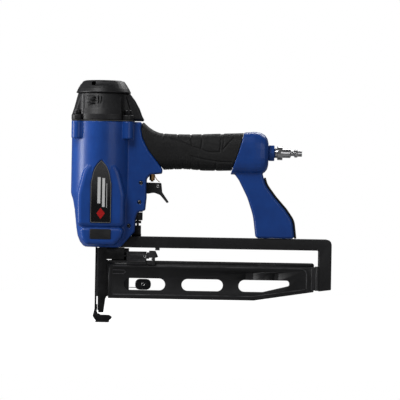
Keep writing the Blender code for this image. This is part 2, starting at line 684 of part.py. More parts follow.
STRIP_T = 2.2
STRIP_LINE = [*LEG_REAR[:-1], (187.0, 170.0)]
strip_sides = []
for depth in (GAP, GAP + STRIP_T):
    line = offset(STRIP_LINE, -depth)
    strip_sides.append([(*line[0], 0), *sharp(line[1:-1], 20), (*line[-1], 0)])
plate("leg_bumper", strip_sides[0] + strip_sides[1][::-1], -9, 9, RUBBER, bevel=0.4)

bushing = rod("inlet_bushing", (192.4, 0, CORE_Z), 6.6, 10.4, "X", BLUE, sides=6)
round_edges(bushing, 0.5)
join(bushing, guide_rod("bushing_shank", (172, 0, CORE_Z), 22, 8.0, "X", 24))
cut(bushing, guide_rod("bushing_bore", (160, 0, CORE_Z), 60, 5.6, "X", 24))
PLUG = [
    (182.0, 5.2), (199.3, 5.2), (199.3, 5.6), (202.4, 5.6), (202.4, 7.9), (208.4, 7.9), (208.4, 5.2), (217.2, 5.2),
    (218.6, 3.0), (221.4, 2.8), (222.6, 4.6), (225.2, 4.6), (226.2, 3.5), (231.0, 3.5),
]
plug = turned(
    "air_plug",
    [(2.2, 231.0), *[(radius, x) for x, radius in reversed(PLUG)], (2.2, 182.0)],
    (0, 0, CORE_Z), "X", BRIGHT, sides=24,
)

# --- Trigger, safety lever and trigger valve --------------------------------------------------

trigger = plate(
    "trigger",
    [
        (42.4, 158.6, 2), (42.4, 165.0, 2), (48.8, 165.0, 1.5), (50.8, 162.6, 1), (68.6, 162.3, 1.2),
        (69.8, 151.4, 4), (77.6, 140.2, 0.5), (75.4, 139.0, 0.5), (67.4, 148.3, 6), (60.2, 150.9, 8),
        (51.5, 149.2, 2), (49.2, 156.4, 2),
    ],
    -TRIGGER_HALF, TRIGGER_HALF, BLACK, bevel=0.8,
)
cut(
    trigger,
    guide_box("lever_channel", (40, -LEVER_HALF - GAP, 152.8), (67.2, LEVER_HALF + GAP, 175)),
    guide_rod("trigger_eye", (TRIGGER_PIVOT[0], -20, TRIGGER_PIVOT[1]), 40, PIN_R + GAP, "Y", 20),
    guide_rod("lever_pin_hole", (LEVER_PIVOT[0], -20, LEVER_PIVOT[1]), 40, LITTLE_PIN_R + GAP, "Y", 16),
)
lever = plate(
    "safety_lever",
    [
        (46.4, 152.5, 0.5), (46.4, 155.0, 0.5), (53.5, 158.6, 2), (55.4, 161.5, 0.8), (60.2, 161.5, 0.8),
        (61.8, 160.9, 1), (66.6, 160.9, 1), (66.6, 156.2, 1), (61.5, 154.4, 2), (52.0, 153.6, 2),
    ],
    -LEVER_HALF, LEVER_HALF, STEEL,
)
cut(lever, guide_rod("lever_eye", (LEVER_PIVOT[0], -20, LEVER_PIVOT[1]), 40, LITTLE_PIN_R + GAP, "Y", 16))
lever_pin = rod("safety_lever_pin", (LEVER_PIVOT[0], -7.2, LEVER_PIVOT[1]), 14.4, LITTLE_PIN_R, "Y", STEEL, sides=12)
for name, (x, z) in (("trigger_pin", TRIGGER_PIVOT), ("guide_pin_upper", UPPER_PIN), ("guide_pin_lower", LOWER_PIN)):
    pin = rod(name, (x, -WEB_HALF - 0.6, z), 2 * WEB_HALF + 1.2, PIN_R, "Y", STEEL, sides=20)
    round_edges(pin, 0.5)

turned(
    "trigger_valve_body",
    [
        (2.1, 191.5), (VALVE_BODY_R, 191.5), (VALVE_BODY_R, 173.6), (3.15, 172.4), (3.15, 165.2), (2.0, 165.2),
        (2.0, 180.0), (4.7, 180.0), (4.7, 190.0), (2.1, 190.0),
    ],
    (STEM_X, 0, 0), made=BRASS, sides=24,
)
stem = turned(
    "trigger_valve_stem",
    [(0, 190.8), (1.6, 190.8), (1.6, 182.0), (4.3, 182.0), (4.3, 180.4), (1.6, 180.4), (1.6, 163.7), (0, 163.7)],
    (STEM_X, 0, 0), made=BRASS, sides=16,
)
coil("trigger_valve_spring", (STEM_X, 0), 3.2, 0.4, 182.3, 189.7, 4, BRIGHT)
tube(
    "trigger_spring", [(60.9, -5.2, 171.2), (61.3, -5.2, 169.2), (63.4, -5.2, 166.0), (66.6, -5.2, 163.2)], 0.45, BRASS
)

# --- Contact arm with its depth wheel ---------------------------------------------------------

LIFTER_HALF = 1.5
lifter = plate(
    "safety_lifter",
    [(34.6, 115.0, 0), (34.6, 131.0, 1), (39.4, 131.0, 0), (39.4, 144.0, 1.5), (45.2, 145.8, 0.5),
     (48.6, 145.8, 0.5), (48.6, 130.0, 1), (47.2, 128.3, 0), (35.9, 128.3, 0), (35.9, 118.2, 0), (46.0, 118.2, 0),
     (46.0, 115.0, 0)],
    -LIFTER_HALF, LIFTER_HALF, STEEL,
)
join(lifter, guide_box("lifter_tab", (38.2, -4.0, 115.02), (45.98, 4.0, 118.18)))
PIN_SLOT = PIN_R + 0.4
cut(
    lifter,
    plate(
        "lifter_slot",
        [
            (UPPER_PIN[0] - PIN_SLOT, UPPER_PIN[1] - PIN_SLOT - CONTACT_TRAVEL, 2),
            (UPPER_PIN[0] + PIN_SLOT, UPPER_PIN[1] - PIN_SLOT - CONTACT_TRAVEL, 2),
            (UPPER_PIN[0] + PIN_SLOT, UPPER_PIN[1] + PIN_SLOT, 2),
            (UPPER_PIN[0] - PIN_SLOT, UPPER_PIN[1] + PIN_SLOT, 2),
        ],
        -5, 5, collection=CUTTERS,
    ),
    guide_rod("stud_hole", (WHEEL_X, 0, 110), 12, STUD_R + 0.75, sides=16),
)
wheel = rod("depth_wheel", (WHEEL_X, 0, WHEEL_LOW), WHEEL_HIGH - WHEEL_LOW, WHEEL_R, made=BLACK, sides=36)
cut(wheel, guide_rod("wheel_bore", (WHEEL_X, 0, 100), 40, STUD_R + 0.75, sides=16))
for i in range(12):
    angle = 2 * math.pi * i / 12
    notch = (WHEEL_X + (WHEEL_R + 0.3) * math.cos(angle), (WHEEL_R + 0.3) * math.sin(angle), 110)
    cut(wheel, guide_rod(f"wheel_notch_{i}", notch, 30, 0.75, sides=8))

ARM_T = 2.0
STRIP_FRONT, STRIP_BACK = -6.3, -4.5
FOOT_HALF, FOOT_SLOT = 8.0, 4.6
PAD_T = 1.5
arm = box("contact_arm", (STRIP_FRONT, -4.2, 13.0), (STRIP_BACK, 4.2, 98.0), STEEL)
foot = plate(
    "foot",
    [
        (STRIP_BACK, 15.5, 0), (STRIP_FRONT, 15.5, 0), (-8.2, 7.0, 2.5), (-4.5, PAD_T + GAP, 2.0),
        (10.0, PAD_T + GAP, 1.5), (14.8, 5.4, 1.5), (10.2, 8.0, 1.5), (0.4, 8.1, 2.0), (-3.4, 10.5, 2.0),
    ],
    -FOOT_HALF, FOOT_HALF, collection=CUTTERS,
)
cut(foot, guide_box("foot_slot", (-3.0, -FOOT_SLOT, -5), (30, FOOT_SLOT, 20)))
cut(foot, guide_box("foot_corner_a", (-20, 4.2, 9.5), (10, 20, 30)), guide_box("foot_corner_b", (-20, -20, 9.5), (10, -4.2, 30)))
join(
    arm, foot,
    guide_box("arm_cross", (STRIP_FRONT, 0, 90), (STRIP_BACK, ARM_Y + ARM_T, 98)),
    guide_box("arm_side", (STRIP_FRONT, ARM_Y, 90.02), (46, ARM_Y + ARM_T, 97.98)),
    guide_box("arm_riser", (34.6, ARM_Y + 0.01, 92), (45.98, ARM_Y + ARM_T - 0.01, 103.3)),
    guide_box("arm_shelf", (34.62, -LIFTER_HALF, 101.9), (45.96, ARM_Y + ARM_T - 0.02, 103.28)),
    guide_box("arm_plate", (34.64, -LIFTER_HALF + 0.01, 102.4), (45.94, LIFTER_HALF, 112.6)),
    guide_rod("arm_stud", (WHEEL_X, 0, 108), 18, STUD_R, sides=16),
)
pad = plate(
    "no_mar_pad", [(-5.0, 0, 0.5), (-5.0, PAD_T, 0), (10.6, PAD_T, 0), (10.6, 0, 0.5)], -FOOT_HALF, FOOT_HALF, RUBBER
)
cut(pad, guide_box("pad_slot", (-3.0, -FOOT_SLOT, -5), (30, FOOT_SLOT, 20)))
coil("contact_spring", (37.6, 6.0), 2.8, 0.45, 103.3 + GAP, POCKET_TOP - GAP, 3, BRIGHT)

# --- Nose -------------------------------------------------------------------------------------

NOSE_FRONT = -1.9
COLUMN_LOW = 28.0
TIP_HALF = 4.2
nose = box("nosepiece", (NOSE_FRONT, -NOSE_HALF, COLUMN_LOW), (NOSE_BACK, NOSE_HALF, 108), STEEL)
join(
    nose,
    guide_box("nose_flange", (NOSE_FRONT - 0.02, -11.8, 106.5), (28, 11.8, POCKET_TOP - GAP)),
    guide_box("nose_saddle", (NOSE_FRONT + 0.02, -8.8, BAR_TOP + GAP), (27.8, 8.8, 108)),
    plate(
        "nose_tip",
        [(NOSE_FRONT, COLUMN_LOW + 2, 0), (NOSE_BACK - 0.4, COLUMN_LOW + 2, 0), (3.8, 11.2, 1), (NOSE_FRONT, 11.2, 0)],
        -TIP_HALF, TIP_HALF, collection=CUTTERS,
    ),
    guide_box("nose_cheek_a", (5.0, NAIL_HALF, 73), (27, 8.0, 86.6)),
    guide_box("nose_cheek_b", (5.0, -8.0, 73), (27, -NAIL_HALF, 86.6)),
)
cut(
    nose,
    guide_box("blade_slot", (-1.5, -1.9, 0), (1.5, 1.9, 120)),
    guide_box("blade_groove", (-5, -1.9, 0), (1.5, 1.9, 97)),
    guide_box("nail_gate", (0, -NAIL_HALF, 26), (8, NAIL_HALF, 96)),
)
cover = box("nose_cover", (-4.2, -NOSE_HALF, 30), (-4.2 + PLATE_T, NOSE_HALF, 86), BLACK)
SCREW_R, SCREW_HEAD_R = 1.1, 1.8
for i, y in enumerate((-6.5, 6.5)):
    hole = guide_rod(f"cover_hole_{i}", (-8, y, 79), 14, SCREW_R + GAP, "X", 12)
    cut(cover, hole)
    cut(nose, guide_rod(f"cover_thread_{i}", (-8, y, 79), 14, SCREW_R + GAP, "X", 12))
    turned(
        f"cover_screw_{i + 1}",
        [(0, 5.4), (SCREW_R, 5.4), (SCREW_R, -4.5), (SCREW_HEAD_R, -4.5), (SCREW_HEAD_R, -5.8), (0, -5.8)],
        (0, y, 79), "X", STEEL, sides=12,
    )

# --- Magazine frame and its fixings -----------------------------------------------------------

FORK_HALF = RAIL_HALF + RUN
frame = plate(
    "magazine_frame",
    [
        (BAR_FRONT, BAR_TOP, 0), (BAR_BACK, BAR_TOP, 6.0), (BAR_BACK, UPRIGHT_BOTTOM, 1), (UPRIGHT_X, 39.8, 1),
        (UPRIGHT_X, BAR_BOTTOM, 1.5), (BAR_FRONT, BAR_BOTTOM, 0),
    ],
    -BAR_HALF, BAR_HALF, BLACK, bevel=0.8,
)
for side, sign in SIDES:
    join(frame, guide_rod(f"upright_rib_{side}", (UPRIGHT_X - 1.2, sign * (BAR_HALF - 0.6), 40.6), 27.6, 2.2, sides=16))
join(frame, guide_box("latch_catch", (63, -9.0, 84.2), (68, -3.4, 88)))
cut(
    frame,
    guide_box("fork", (BAY_BACK, -FORK_HALF, 30), (BAR_BACK + 13, FORK_HALF, RAIL_TOP + RUN)),
    guide_box("blade_way", (RAIL_BACK - 2, -NAIL_HALF, 60), (BAR_BACK + 13, NAIL_HALF, 90)),
    guide_box("head_groove", (0, -NAIL_HALF - 0.5, 80), (BAR_BACK + 13, NAIL_HALF + 0.5, 93.5)),
)
LEG_SCREWS = (190.0, 212.0)
DOWELS = (13.0, 23.0)
DOWEL_R = 1.6
for i, x in enumerate(LEG_SCREWS):
    cut(
        frame,
        guide_rod(f"leg_screw_seat_{i}", (x, 0, 80), 16.3, 3.5, sides=16),
        guide_rod(f"leg_screw_way_{i}", (x, 0, 90), 20, 2.3, sides=16),
    )
    cut(tail, guide_rod(f"leg_thread_{i}", (x, 0, 90), 24.5, 2.3, sides=16))
    turned(
        f"leg_screw_{i + 1}", [(0, 114), (2.0, 114), (2.0, 96), (3.1, 96), (3.1, 93.4), (0, 93.4)], (x, 0, 0),
        made=STEEL, sides=12,
    )
for i, x in enumerate(DOWELS):
    cut(frame, guide_rod(f"dowel_way_{i}", (x, 0, 80), 30, DOWEL_R + GAP, sides=12))
    cut(nose, guide_rod(f"dowel_hole_{i}", (x, 0, 90), 19, DOWEL_R + GAP, sides=12))
    rod(f"magazine_dowel_{i + 1}", (x, 0, 93.8), 14.6, DOWEL_R, made=STEEL, sides=12)

# --- Sliding rail with pusher and latch -------------------------------------------------------

rail = plate(
    "magazine_rail",
    [
        (RAIL_FRONT, RAIL_TOP, 0.8), (RAIL_BACK, RAIL_TOP, 2), (RAIL_BACK, 38.9, 1), (178, RAIL_BOTTOM, 8),
        (RAIL_FRONT, RAIL_BOTTOM, 1.2),
    ],
    -RAIL_HALF, RAIL_HALF, BLACK,
)
for i, (front, back) in enumerate(((27.0, 75.0), (94.0, 142.0))):
    ends = SLOT_R - 0.1
    corners = [(front, SLOT_Z - SLOT_R), (back, SLOT_Z - SLOT_R), (back, SLOT_Z + SLOT_R), (front, SLOT_Z + SLOT_R)]
    cut(rail, plate(f"rail_slot_{i}", sharp(corners, ends), -20, 20, collection=CUTTERS, steps=6))
cut(
    rail,
    plate(
        "rail_slot_2",
        [
            (160, SLOT_Z - SLOT_R, 6.9), (188, SLOT_Z - SLOT_R, 6), (RAIL_BACK - 28, 45.2, 2), (RAIL_BACK - 28, SLOT_Z + SLOT_R, 4),
            (160, SLOT_Z + SLOT_R, 6.9),
        ],
        -20, 20, collection=CUTTERS, steps=6,
    ),
    guide_box("nail_channel", (0, -NAIL_HALF, 54), (RAIL_BACK + 13, NAIL_HALF, 80)),
    guide_box("pusher_bay", (0, -BAY_HALF, 31), (BAY_BACK, BAY_HALF, 56)),
    guide_box("rail_notch", (181.5, -20, 69), (201.2, -4, 80)),
    guide_box("side_relief_a", (14, -20, 32.5), (BAY_BACK - 2, -RAIL_HALF + 0.5, 64.2)),
    guide_box("side_relief_b", (14, RAIL_HALF - 0.5, 32.5), (BAY_BACK - 2, 20, 64.2)),
)

PUSHER_HALF = BAY_HALF - RUN
pusher = box("pusher", (12, -PUSHER_HALF, 31.5), (33, PUSHER_HALF, 55.6), STEEL)
join(
    pusher,
    guide_box("pusher_blade", (12.5, -NAIL_HALF + RUN, 50), (32.5, NAIL_HALF - RUN, 86.0)),
    guide_box("pusher_tray", (30, -PUSHER_HALF + 0.02, 31.52), (58.5, PUSHER_HALF - 0.02, 36.4)),
)
roll = plate(
    "pusher_spring_roll",
    [(40.3, 38.2, 5.0), (58.5, 38.2, 5.0), (58.5, 50.6, 5.0), (40.3, 50.6, 5.0)], -3.8, 3.8, BRIGHT, bevel=0.5,
)
ROLL_X, ROLL_Z = 49.4, 44.4
cut(roll, guide_rod("roll_eye", (ROLL_X, -20, ROLL_Z), 40, 1.8, "Y", 16))
join(roll, guide_box("roll_ribbon", (33.4, -3.0, 40.3), (43, 3.0, 40.9)))
roll_pin = rod("spring_roll_pin", (ROLL_X, -PUSHER_HALF, ROLL_Z), 2 * PUSHER_HALF, 1.5, "Y", STEEL, sides=12)

LATCH_PIVOT = (51.0, 77.0)
latch_block = box("latch_block", (30, -9.4, RAIL_TOP + GAP), (53, -NAIL_HALF - 0.4, 82.5), BLACK)
join(latch_block, guide_box("latch_skirt", (30.02, -9.38, 67.5), (52.98, -RAIL_HALF - GAP, 75)))
cut(
    latch_block,
    guide_box("latch_slot", (46.5, -7.6, 72.8), (60, -4.4, 90)),
    guide_rod("latch_pin_hole", (LATCH_PIVOT[0], -20, LATCH_PIVOT[1]), 30, LITTLE_PIN_R + GAP, "Y", 12),
)
latch_lever = plate(
    "latch_lever",
    [
        (53.4, 75.4, 0.5), (53.4, 81.7, 0.5), (56.0, 81.7, 0), (56.0, 83.6, 0.5), (63.2, 83.6, 1),
        (65.4, 79.0, 1), (66.6, 76.4, 0.8), (62.6, 75.4, 1),
    ],
    -9.0, -2.6, BLACK,
)
join(
    latch_lever,
    guide_box("thumb_tab", (59.6, -8.98, 67.4), (63.0, -RAIL_HALF - GAP, 78)),
    guide_box("thumb_pad", (54.0, -8.96, 67.6), (62.0, -RAIL_HALF - GAP, 72.4)),
    guide_box("lever_tongue", (48.4, -7.2, 74.2), (56, -4.8, 80.0)),
)
cut(latch_lever, guide_rod("lever_pin_way", (LATCH_PIVOT[0], -20, LATCH_PIVOT[1]), 30, LITTLE_PIN_R + GAP, "Y", 12))
latch_pin = rod("latch_pin", (LATCH_PIVOT[0], -9.3, LATCH_PIVOT[1]), 6.6, LITTLE_PIN_R, "Y", STEEL, sides=12)
coil("latch_spring", (60.0, -4.6), 1.5, 0.3, RAIL_TOP + GAP, 75.4 - GAP, 2, BRIGHT)

# --- Joint frames -----------------------------------------------------------------------------

on_joint("deflector_turn", (0, 0, LID_BOTTOM), [deflector, bpy.data.objects["deflector_screw"]])
on_joint("driver_stroke", (0, 0, PISTON_Z), [piston, piston_ring, blade])
on_joint("head_valve_lift", (0, 0, VALVE_SEAT), [head_valve])
trigger_axis = on_joint("trigger_pull", (TRIGGER_PIVOT[0], 0, TRIGGER_PIVOT[1]), [trigger, lever_pin])
on_joint("safety_lever_tilt", (LEVER_PIVOT[0], 0, LEVER_PIVOT[1]), [lever], trigger_axis)
on_joint("valve_stem_lift", (STEM_X, 0, 163.7), [stem])
contact_axis = on_joint("contact_press", (WHEEL_X, 0, 115.0), [lifter])
on_joint("depth_wheel_turn", (WHEEL_X, 0, WHEEL_LOW), [wheel], contact_axis)
on_joint("foot_depth", (WHEEL_X, 0, 108.0), [arm, pad], contact_axis)
rail_axis = on_joint("magazine_slide", (RAIL_FRONT, 0, RAIL_BOTTOM), [rail, latch_block, latch_pin])
on_joint("pusher_slide", (12, 0, 31.5), [pusher, roll, roll_pin], rail_axis)
on_joint("latch_press", (LATCH_PIVOT[0], 0, LATCH_PIVOT[1]), [latch_lever], rail_axis)
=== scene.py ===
"""Air-driven finish nailer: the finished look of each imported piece.

Metres, +Z up. The origin is the middle of the hand grip, X runs back along the magazine towards the air
plug, and the tool's left side faces -Y.
"""

import json
import math

import bmesh
import bpy
from mathutils import Matrix, Vector
from mathutils.bvhtree import BVHTree

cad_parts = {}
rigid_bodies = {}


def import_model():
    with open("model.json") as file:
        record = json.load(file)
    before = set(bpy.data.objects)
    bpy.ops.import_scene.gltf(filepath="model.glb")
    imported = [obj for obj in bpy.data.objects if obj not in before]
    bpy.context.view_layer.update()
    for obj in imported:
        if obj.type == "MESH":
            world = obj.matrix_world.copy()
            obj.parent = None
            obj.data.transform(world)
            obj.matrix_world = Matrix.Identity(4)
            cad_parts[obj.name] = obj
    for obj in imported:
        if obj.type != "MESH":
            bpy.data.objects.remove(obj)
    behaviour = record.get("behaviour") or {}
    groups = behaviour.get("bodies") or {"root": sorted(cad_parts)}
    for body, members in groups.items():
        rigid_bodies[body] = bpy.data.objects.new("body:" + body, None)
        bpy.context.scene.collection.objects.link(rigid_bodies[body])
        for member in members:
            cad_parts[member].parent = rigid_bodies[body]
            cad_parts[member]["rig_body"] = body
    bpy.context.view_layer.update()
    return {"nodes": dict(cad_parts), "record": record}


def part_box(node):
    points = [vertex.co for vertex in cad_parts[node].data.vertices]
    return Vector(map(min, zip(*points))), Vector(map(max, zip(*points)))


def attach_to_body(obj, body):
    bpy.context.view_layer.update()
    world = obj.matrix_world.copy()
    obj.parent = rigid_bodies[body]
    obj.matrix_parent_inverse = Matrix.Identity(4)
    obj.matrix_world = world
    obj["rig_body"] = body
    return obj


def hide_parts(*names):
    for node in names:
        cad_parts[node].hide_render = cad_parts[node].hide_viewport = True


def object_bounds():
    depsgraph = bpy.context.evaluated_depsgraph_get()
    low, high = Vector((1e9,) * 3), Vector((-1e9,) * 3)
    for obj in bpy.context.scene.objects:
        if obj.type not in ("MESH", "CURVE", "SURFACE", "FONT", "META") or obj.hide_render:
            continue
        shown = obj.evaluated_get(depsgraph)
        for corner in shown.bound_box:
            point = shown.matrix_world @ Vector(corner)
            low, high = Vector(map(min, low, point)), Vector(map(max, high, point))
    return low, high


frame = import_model()

# --- Stage: pale floor, white surroundings, four soft lights and the camera ---------------------
# The tool is shown from its left side on a plain pale floor. A wide key light hangs over the front
# of the barrel, a softer one fills from the camera's side, and two strips draw the front and back edges.

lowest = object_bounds()[0]
floor_mesh = bpy.data.meshes.new("floor")
floor_work = bmesh.new()
bmesh.ops.create_grid(floor_work, x_segments=1, y_segments=1, size=0.9)
floor_work.to_mesh(floor_mesh)
floor_work.free()
floor = bpy.data.objects.new("floor", floor_mesh)
floor.location.z = lowest.z - 0.0002
bpy.context.scene.collection.objects.link(floor)
floor_paint = bpy.data.materials.new("pale_floor")
floor_paint.use_nodes = True
floor_shader = floor_paint.node_tree.nodes["Principled BSDF"]
floor_shader.inputs["Base Color"].default_value = (0.30, 0.30, 0.30, 1)
floor_shader.inputs["Roughness"].default_value = 0.9
floor_shader.inputs["Emission Color"].default_value = (1, 1, 1, 1)
floor_ray = floor_paint.node_tree.nodes.new("ShaderNodeLightPath")
floor_glow = floor_paint.node_tree.nodes.new("ShaderNodeMath")
floor_glow.operation = "MULTIPLY"
floor_glow.inputs[1].default_value = 0.93
floor_paint.node_tree.links.new(floor_ray.outputs["Is Camera Ray"], floor_glow.inputs[0])
floor_paint.node_tree.links.new(floor_glow.outputs[0], floor_shader.inputs["Emission Strength"])
floor_mesh.materials.append(floor_paint)

surroundings = bpy.data.worlds.new("white_room")
bpy.context.scene.world = surroundings
surroundings.use_nodes = True
room = surroundings.node_tree
room_light = room.nodes["Background"]
room_light.inputs["Color"].default_value = (1, 1, 1, 1)
room_light.inputs["Strength"].default_value = 0.13
room_backdrop = room.nodes.new("ShaderNodeBackground")
room_backdrop.inputs["Color"].default_value = (1, 1, 1, 1)
room_backdrop.inputs["Strength"].default_value = 1.0
room_split = room.nodes.new("ShaderNodeMixShader")
room_ray = room.nodes.new("ShaderNodeLightPath")
room.links.new(room_ray.outputs["Is Camera Ray"], room_split.inputs[0])
room.links.new(room_light.outputs[0], room_split.inputs[1])
room.links.new(room_backdrop.outputs[0], room_split.inputs[2])
room.links.new(room_split.outputs[0], room.nodes["World Output"].inputs["Surface"])


def soft_light(name, place, target, width, height, power):
    """A rectangular studio light that points at the tool."""
    lamp = bpy.data.lights.new(name, "AREA")
    lamp.shape = "RECTANGLE"
    lamp.size = width
    lamp.size_y = height
    lamp.energy = power
    holder = bpy.data.objects.new(name, lamp)
    holder.location = place
    holder.rotation_euler = (Vector(target) - Vector(place)).to_track_quat("-Z", "Y").to_euler()
    bpy.context.scene.collection.objects.link(holder)
    return holder


soft_light("key_light", (-0.55, -0.75, 0.85), (0, 0, -0.03), 0.5, 0.5, 8.0)
soft_light("fill_light", (0.7, -1.1, 0.25), (0.03, 0, -0.05), 0.7, 0.5, 1.7)
soft_light("front_strip", (-0.75, -0.12, 0.0), (-0.1, 0, 0), 0.18, 0.7, 5.5)
soft_light("back_strip", (0.3, 0.55, 0.6), (0.0, 0, 0), 0.6, 0.2, 3.5)

# The camera stands level with the middle of the tool, square to its left side, rolled by one degree.
camera_data = bpy.data.cameras.new("side_camera")
camera_data.sensor_width = 36.0
camera_data.lens = 232.8
camera = bpy.data.objects.new("side_camera", camera_data)
camera.location = (0.00875, -3.0, -0.0557)
camera.rotation_euler = (math.radians(90), math.radians(-1.0), 0)
bpy.context.scene.collection.objects.link(camera)
bpy.context.scene.camera = camera
bpy.context.scene.view_settings.view_transform = "Standard"

# --- Cast body ----------------------------------------------------------------------------------
# Die-cast light alloy: the barrel, the web with the trigger slot and the hollow core of the grip in one
# casting, sprayed with blue enamel. Its edges are soft from the mould and the paint shows fine peel.


def fresh(node, name):
    """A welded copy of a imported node's mesh, as a new piece that stands for it."""
    work = bmesh.new()
    work.from_mesh(frame["nodes"][node].data)
    bmesh.ops.remove_doubles(work, verts=work.verts, dist=1e-6)
    bmesh.ops.dissolve_limit(work, angle_limit=0.002, verts=work.verts, edges=work.edges)
    mesh = bpy.data.meshes.new(name)
    work.to_mesh(mesh)
    work.free()
    mesh.materials.append(None)
    mesh.materials.append(None)
    piece = bpy.data.objects.new(name, mesh)
    bpy.context.scene.collection.objects.link(piece)
    return piece


def settle(piece):
    """Applies a piece's modifiers to its mesh."""
    bpy.context.view_layer.update()
    seen = piece.evaluated_get(bpy.context.evaluated_depsgraph_get())
    mesh = bpy.data.meshes.new_from_object(seen)
    piece.modifiers.clear()
    piece.data = mesh
    return piece


def moulded(node, name, cell, rounds):
    """A copy whose edges are melted soft, as a mould or a coat of paint leaves them."""
    piece = fresh(node, name)
    skin = piece.modifiers.new("skin", "REMESH")
    skin.mode = "VOXEL"
    skin.voxel_size = cell
    soften = piece.modifiers.new("soften", "SMOOTH")
    soften.factor = 0.5
    soften.iterations = rounds
    settle(piece)
    piece.data.shade_smooth()
    return piece


def machined(node, name, width, segments=2):
    """A copy with its sharp edges broken by a small round, as a file or a tumbler leaves them."""
    piece = fresh(node, name)
    edge = piece.modifiers.new("edge", "BEVEL")
    edge.width = width
    edge.segments = segments
    edge.limit_method = "ANGLE"
    edge.angle_limit = math.radians(32)
    edge.use_clamp_overlap = True
    edge.miter_outer = "MITER_ARC"
    # The rounded edge faces take the piece's second finish, which for most pieces is a lighter copy of the
    # first: a painted highlight.
    edge.material = 1
    settle(piece)
    piece.data.shade_smooth()
    piece.data.set_sharp_from_angle(angle=math.radians(40))
    return piece


def thin_coat(piece, node, low, high):
    """Puts the skin between two corners back on the casting's own surface, so moving parts have room."""
    mesh = frame["nodes"][node].data
    surface = BVHTree.FromPolygons([v.co for v in mesh.vertices], [p.vertices for p in mesh.polygons])
    for vertex in piece.data.vertices:
        if all(a < v < b for a, v, b in zip(low, vertex.co, high)):
            vertex.co = surface.find_nearest(vertex.co)[0]
    return piece


def rounded(piece, node, sides=36):
    """Pushes the flats of a turned wall out to its true round, by the wall's own profile."""
    axis = frame["nodes"]["cylinder_sleeve"].data.vertices
    middle = (min(v.co.x for v in axis) + max(v.co.x for v in axis)) / 2
    wall = sorted(
        {(round(v.co.z, 5), round(middle - v.co.x, 5)) for v in frame["nodes"][node].data.vertices
         if abs(v.co.y) < 1e-5 and middle - v.co.x > 0.02}
    )
    profile = {}
    for z, radius in wall:
        profile[z] = max(radius, profile.get(z, 0))
    heights = sorted(profile)
    if len(heights) < 2:
        return piece
    for vertex in piece.data.vertices:
        x, y, z = vertex.co.x - middle, vertex.co.y, vertex.co.z
        radius = math.hypot(x, y)
        above = next((i for i, h in enumerate(heights) if h >= z), len(heights) - 1)
        low, high = heights[max(above - 1, 0)], heights[above]
        share = 0.0 if high == low else min(1.0, max(0.0, (z - low) / (high - low)))
        true = profile[low] + (profile[high] - profile[low]) * share
        step = 2 * math.pi / sides
        off = (math.atan2(y, x) % step) - step / 2
        flat = true * math.cos(step / 2) / math.cos(off)
        if abs(radius - flat) < 0.0003:
            vertex.co.x, vertex.co.y = middle + x * true / radius, y * true / radius
    return piece


def fit(piece, nodes, body, slot, *looks):
    """Puts a piece in place of its nodes, on its body, with its finish."""
    for place in range(len(piece.data.materials)):
        piece.data.materials[place] = looks[min(place, len(looks) - 1)]
    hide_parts(*nodes)
    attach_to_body(piece, body)
    return piece


def add(tree, kind, inputs=None, **settings):
    """One node, with its settings and its inputs given as values or as sockets."""
    node = tree.nodes.new(kind)
    for key, value in settings.items():
        setattr(node, key, value)
    for key, value in (inputs or {}).items():
        if isinstance(value, bpy.types.NodeSocket):
            tree.links.new(value, node.inputs[key])
        else:
            node.inputs[key].default_value = value
    return node


def new_group(name, inputs, outputs):
    """An empty shader group with named sockets: name -> (kind, default)."""
    group = bpy.data.node_groups.new(name, "ShaderNodeTree")
    for label, (kind, default) in inputs.items():
        socket = group.interface.new_socket(label, in_out="INPUT", socket_type="NodeSocket" + kind)
        socket.default_value = default
    for label, kind in outputs.items():
        group.interface.new_socket(label, in_out="OUTPUT", socket_type="NodeSocket" + kind)
    return group, group.nodes.new("NodeGroupInput"), group.nodes.new("NodeGroupOutput")


# Sprayed or plated metal: slow blotches of shade, fine peel, dull specks and bare or bright edges.
coat_group, coat_in, coat_out = new_group(
    "metal_coat",
    {
        "Colour": ("Color", (0.1, 0.1, 0.1, 1)), "Shade": ("Color", (0.05, 0.05, 0.05, 1)),
        "Edge Colour": ("Color", (0.5, 0.5, 0.5, 1)), "Edge Wear": ("Float", 0.3),
        "Blotch Scale": ("Float", 45.0), "Peel Scale": ("Float", 1500.0),
        "Smooth": ("Float", 0.3), "Dull": ("Float", 0.5),
    },
    {"Colour": "Color", "Roughness": "Float", "Height": "Float"},
)
coat_place = add(coat_group, "ShaderNodeTexCoord")
coat_blotch = add(
    coat_group, "ShaderNodeTexNoise",
    {"Vector": coat_place.outputs["Object"], "Scale": coat_in.outputs["Blotch Scale"], "Detail": 4.0,
        "Roughness": 0.6},
)
coat_peel = add(
    coat_group, "ShaderNodeTexNoise",
    {"Vector": coat_place.outputs["Object"], "Scale": coat_in.outputs["Peel Scale"], "Detail": 2.0},
)
coat_speck = add(
    coat_group, "ShaderNodeTexNoise",
    {"Vector": coat_place.outputs["Object"], "Scale": 420.0, "Detail": 6.0, "Roughness": 0.7},
)
coat_spread = add(
    coat_group, "ShaderNodeMapRange",
    {"Value": coat_blotch.outputs[0], "From Min": 0.36, "From Max": 0.66, "To Min": 0.0, "To Max": 1.0},
)


def blend_colours(tree, factor, first, second):
    """Mixes two colours by a factor and gives the result's socket."""
    mix = tree.nodes.new("ShaderNodeMix")
    mix.data_type = "RGBA"
    for socket, value in ((mix.inputs[0], factor), (mix.inputs[6], first), (mix.inputs[7], second)):
        if isinstance(value, bpy.types.NodeSocket):
            tree.links.new(value, socket)
        else:
            socket.default_value = value
    return mix.outputs[2]


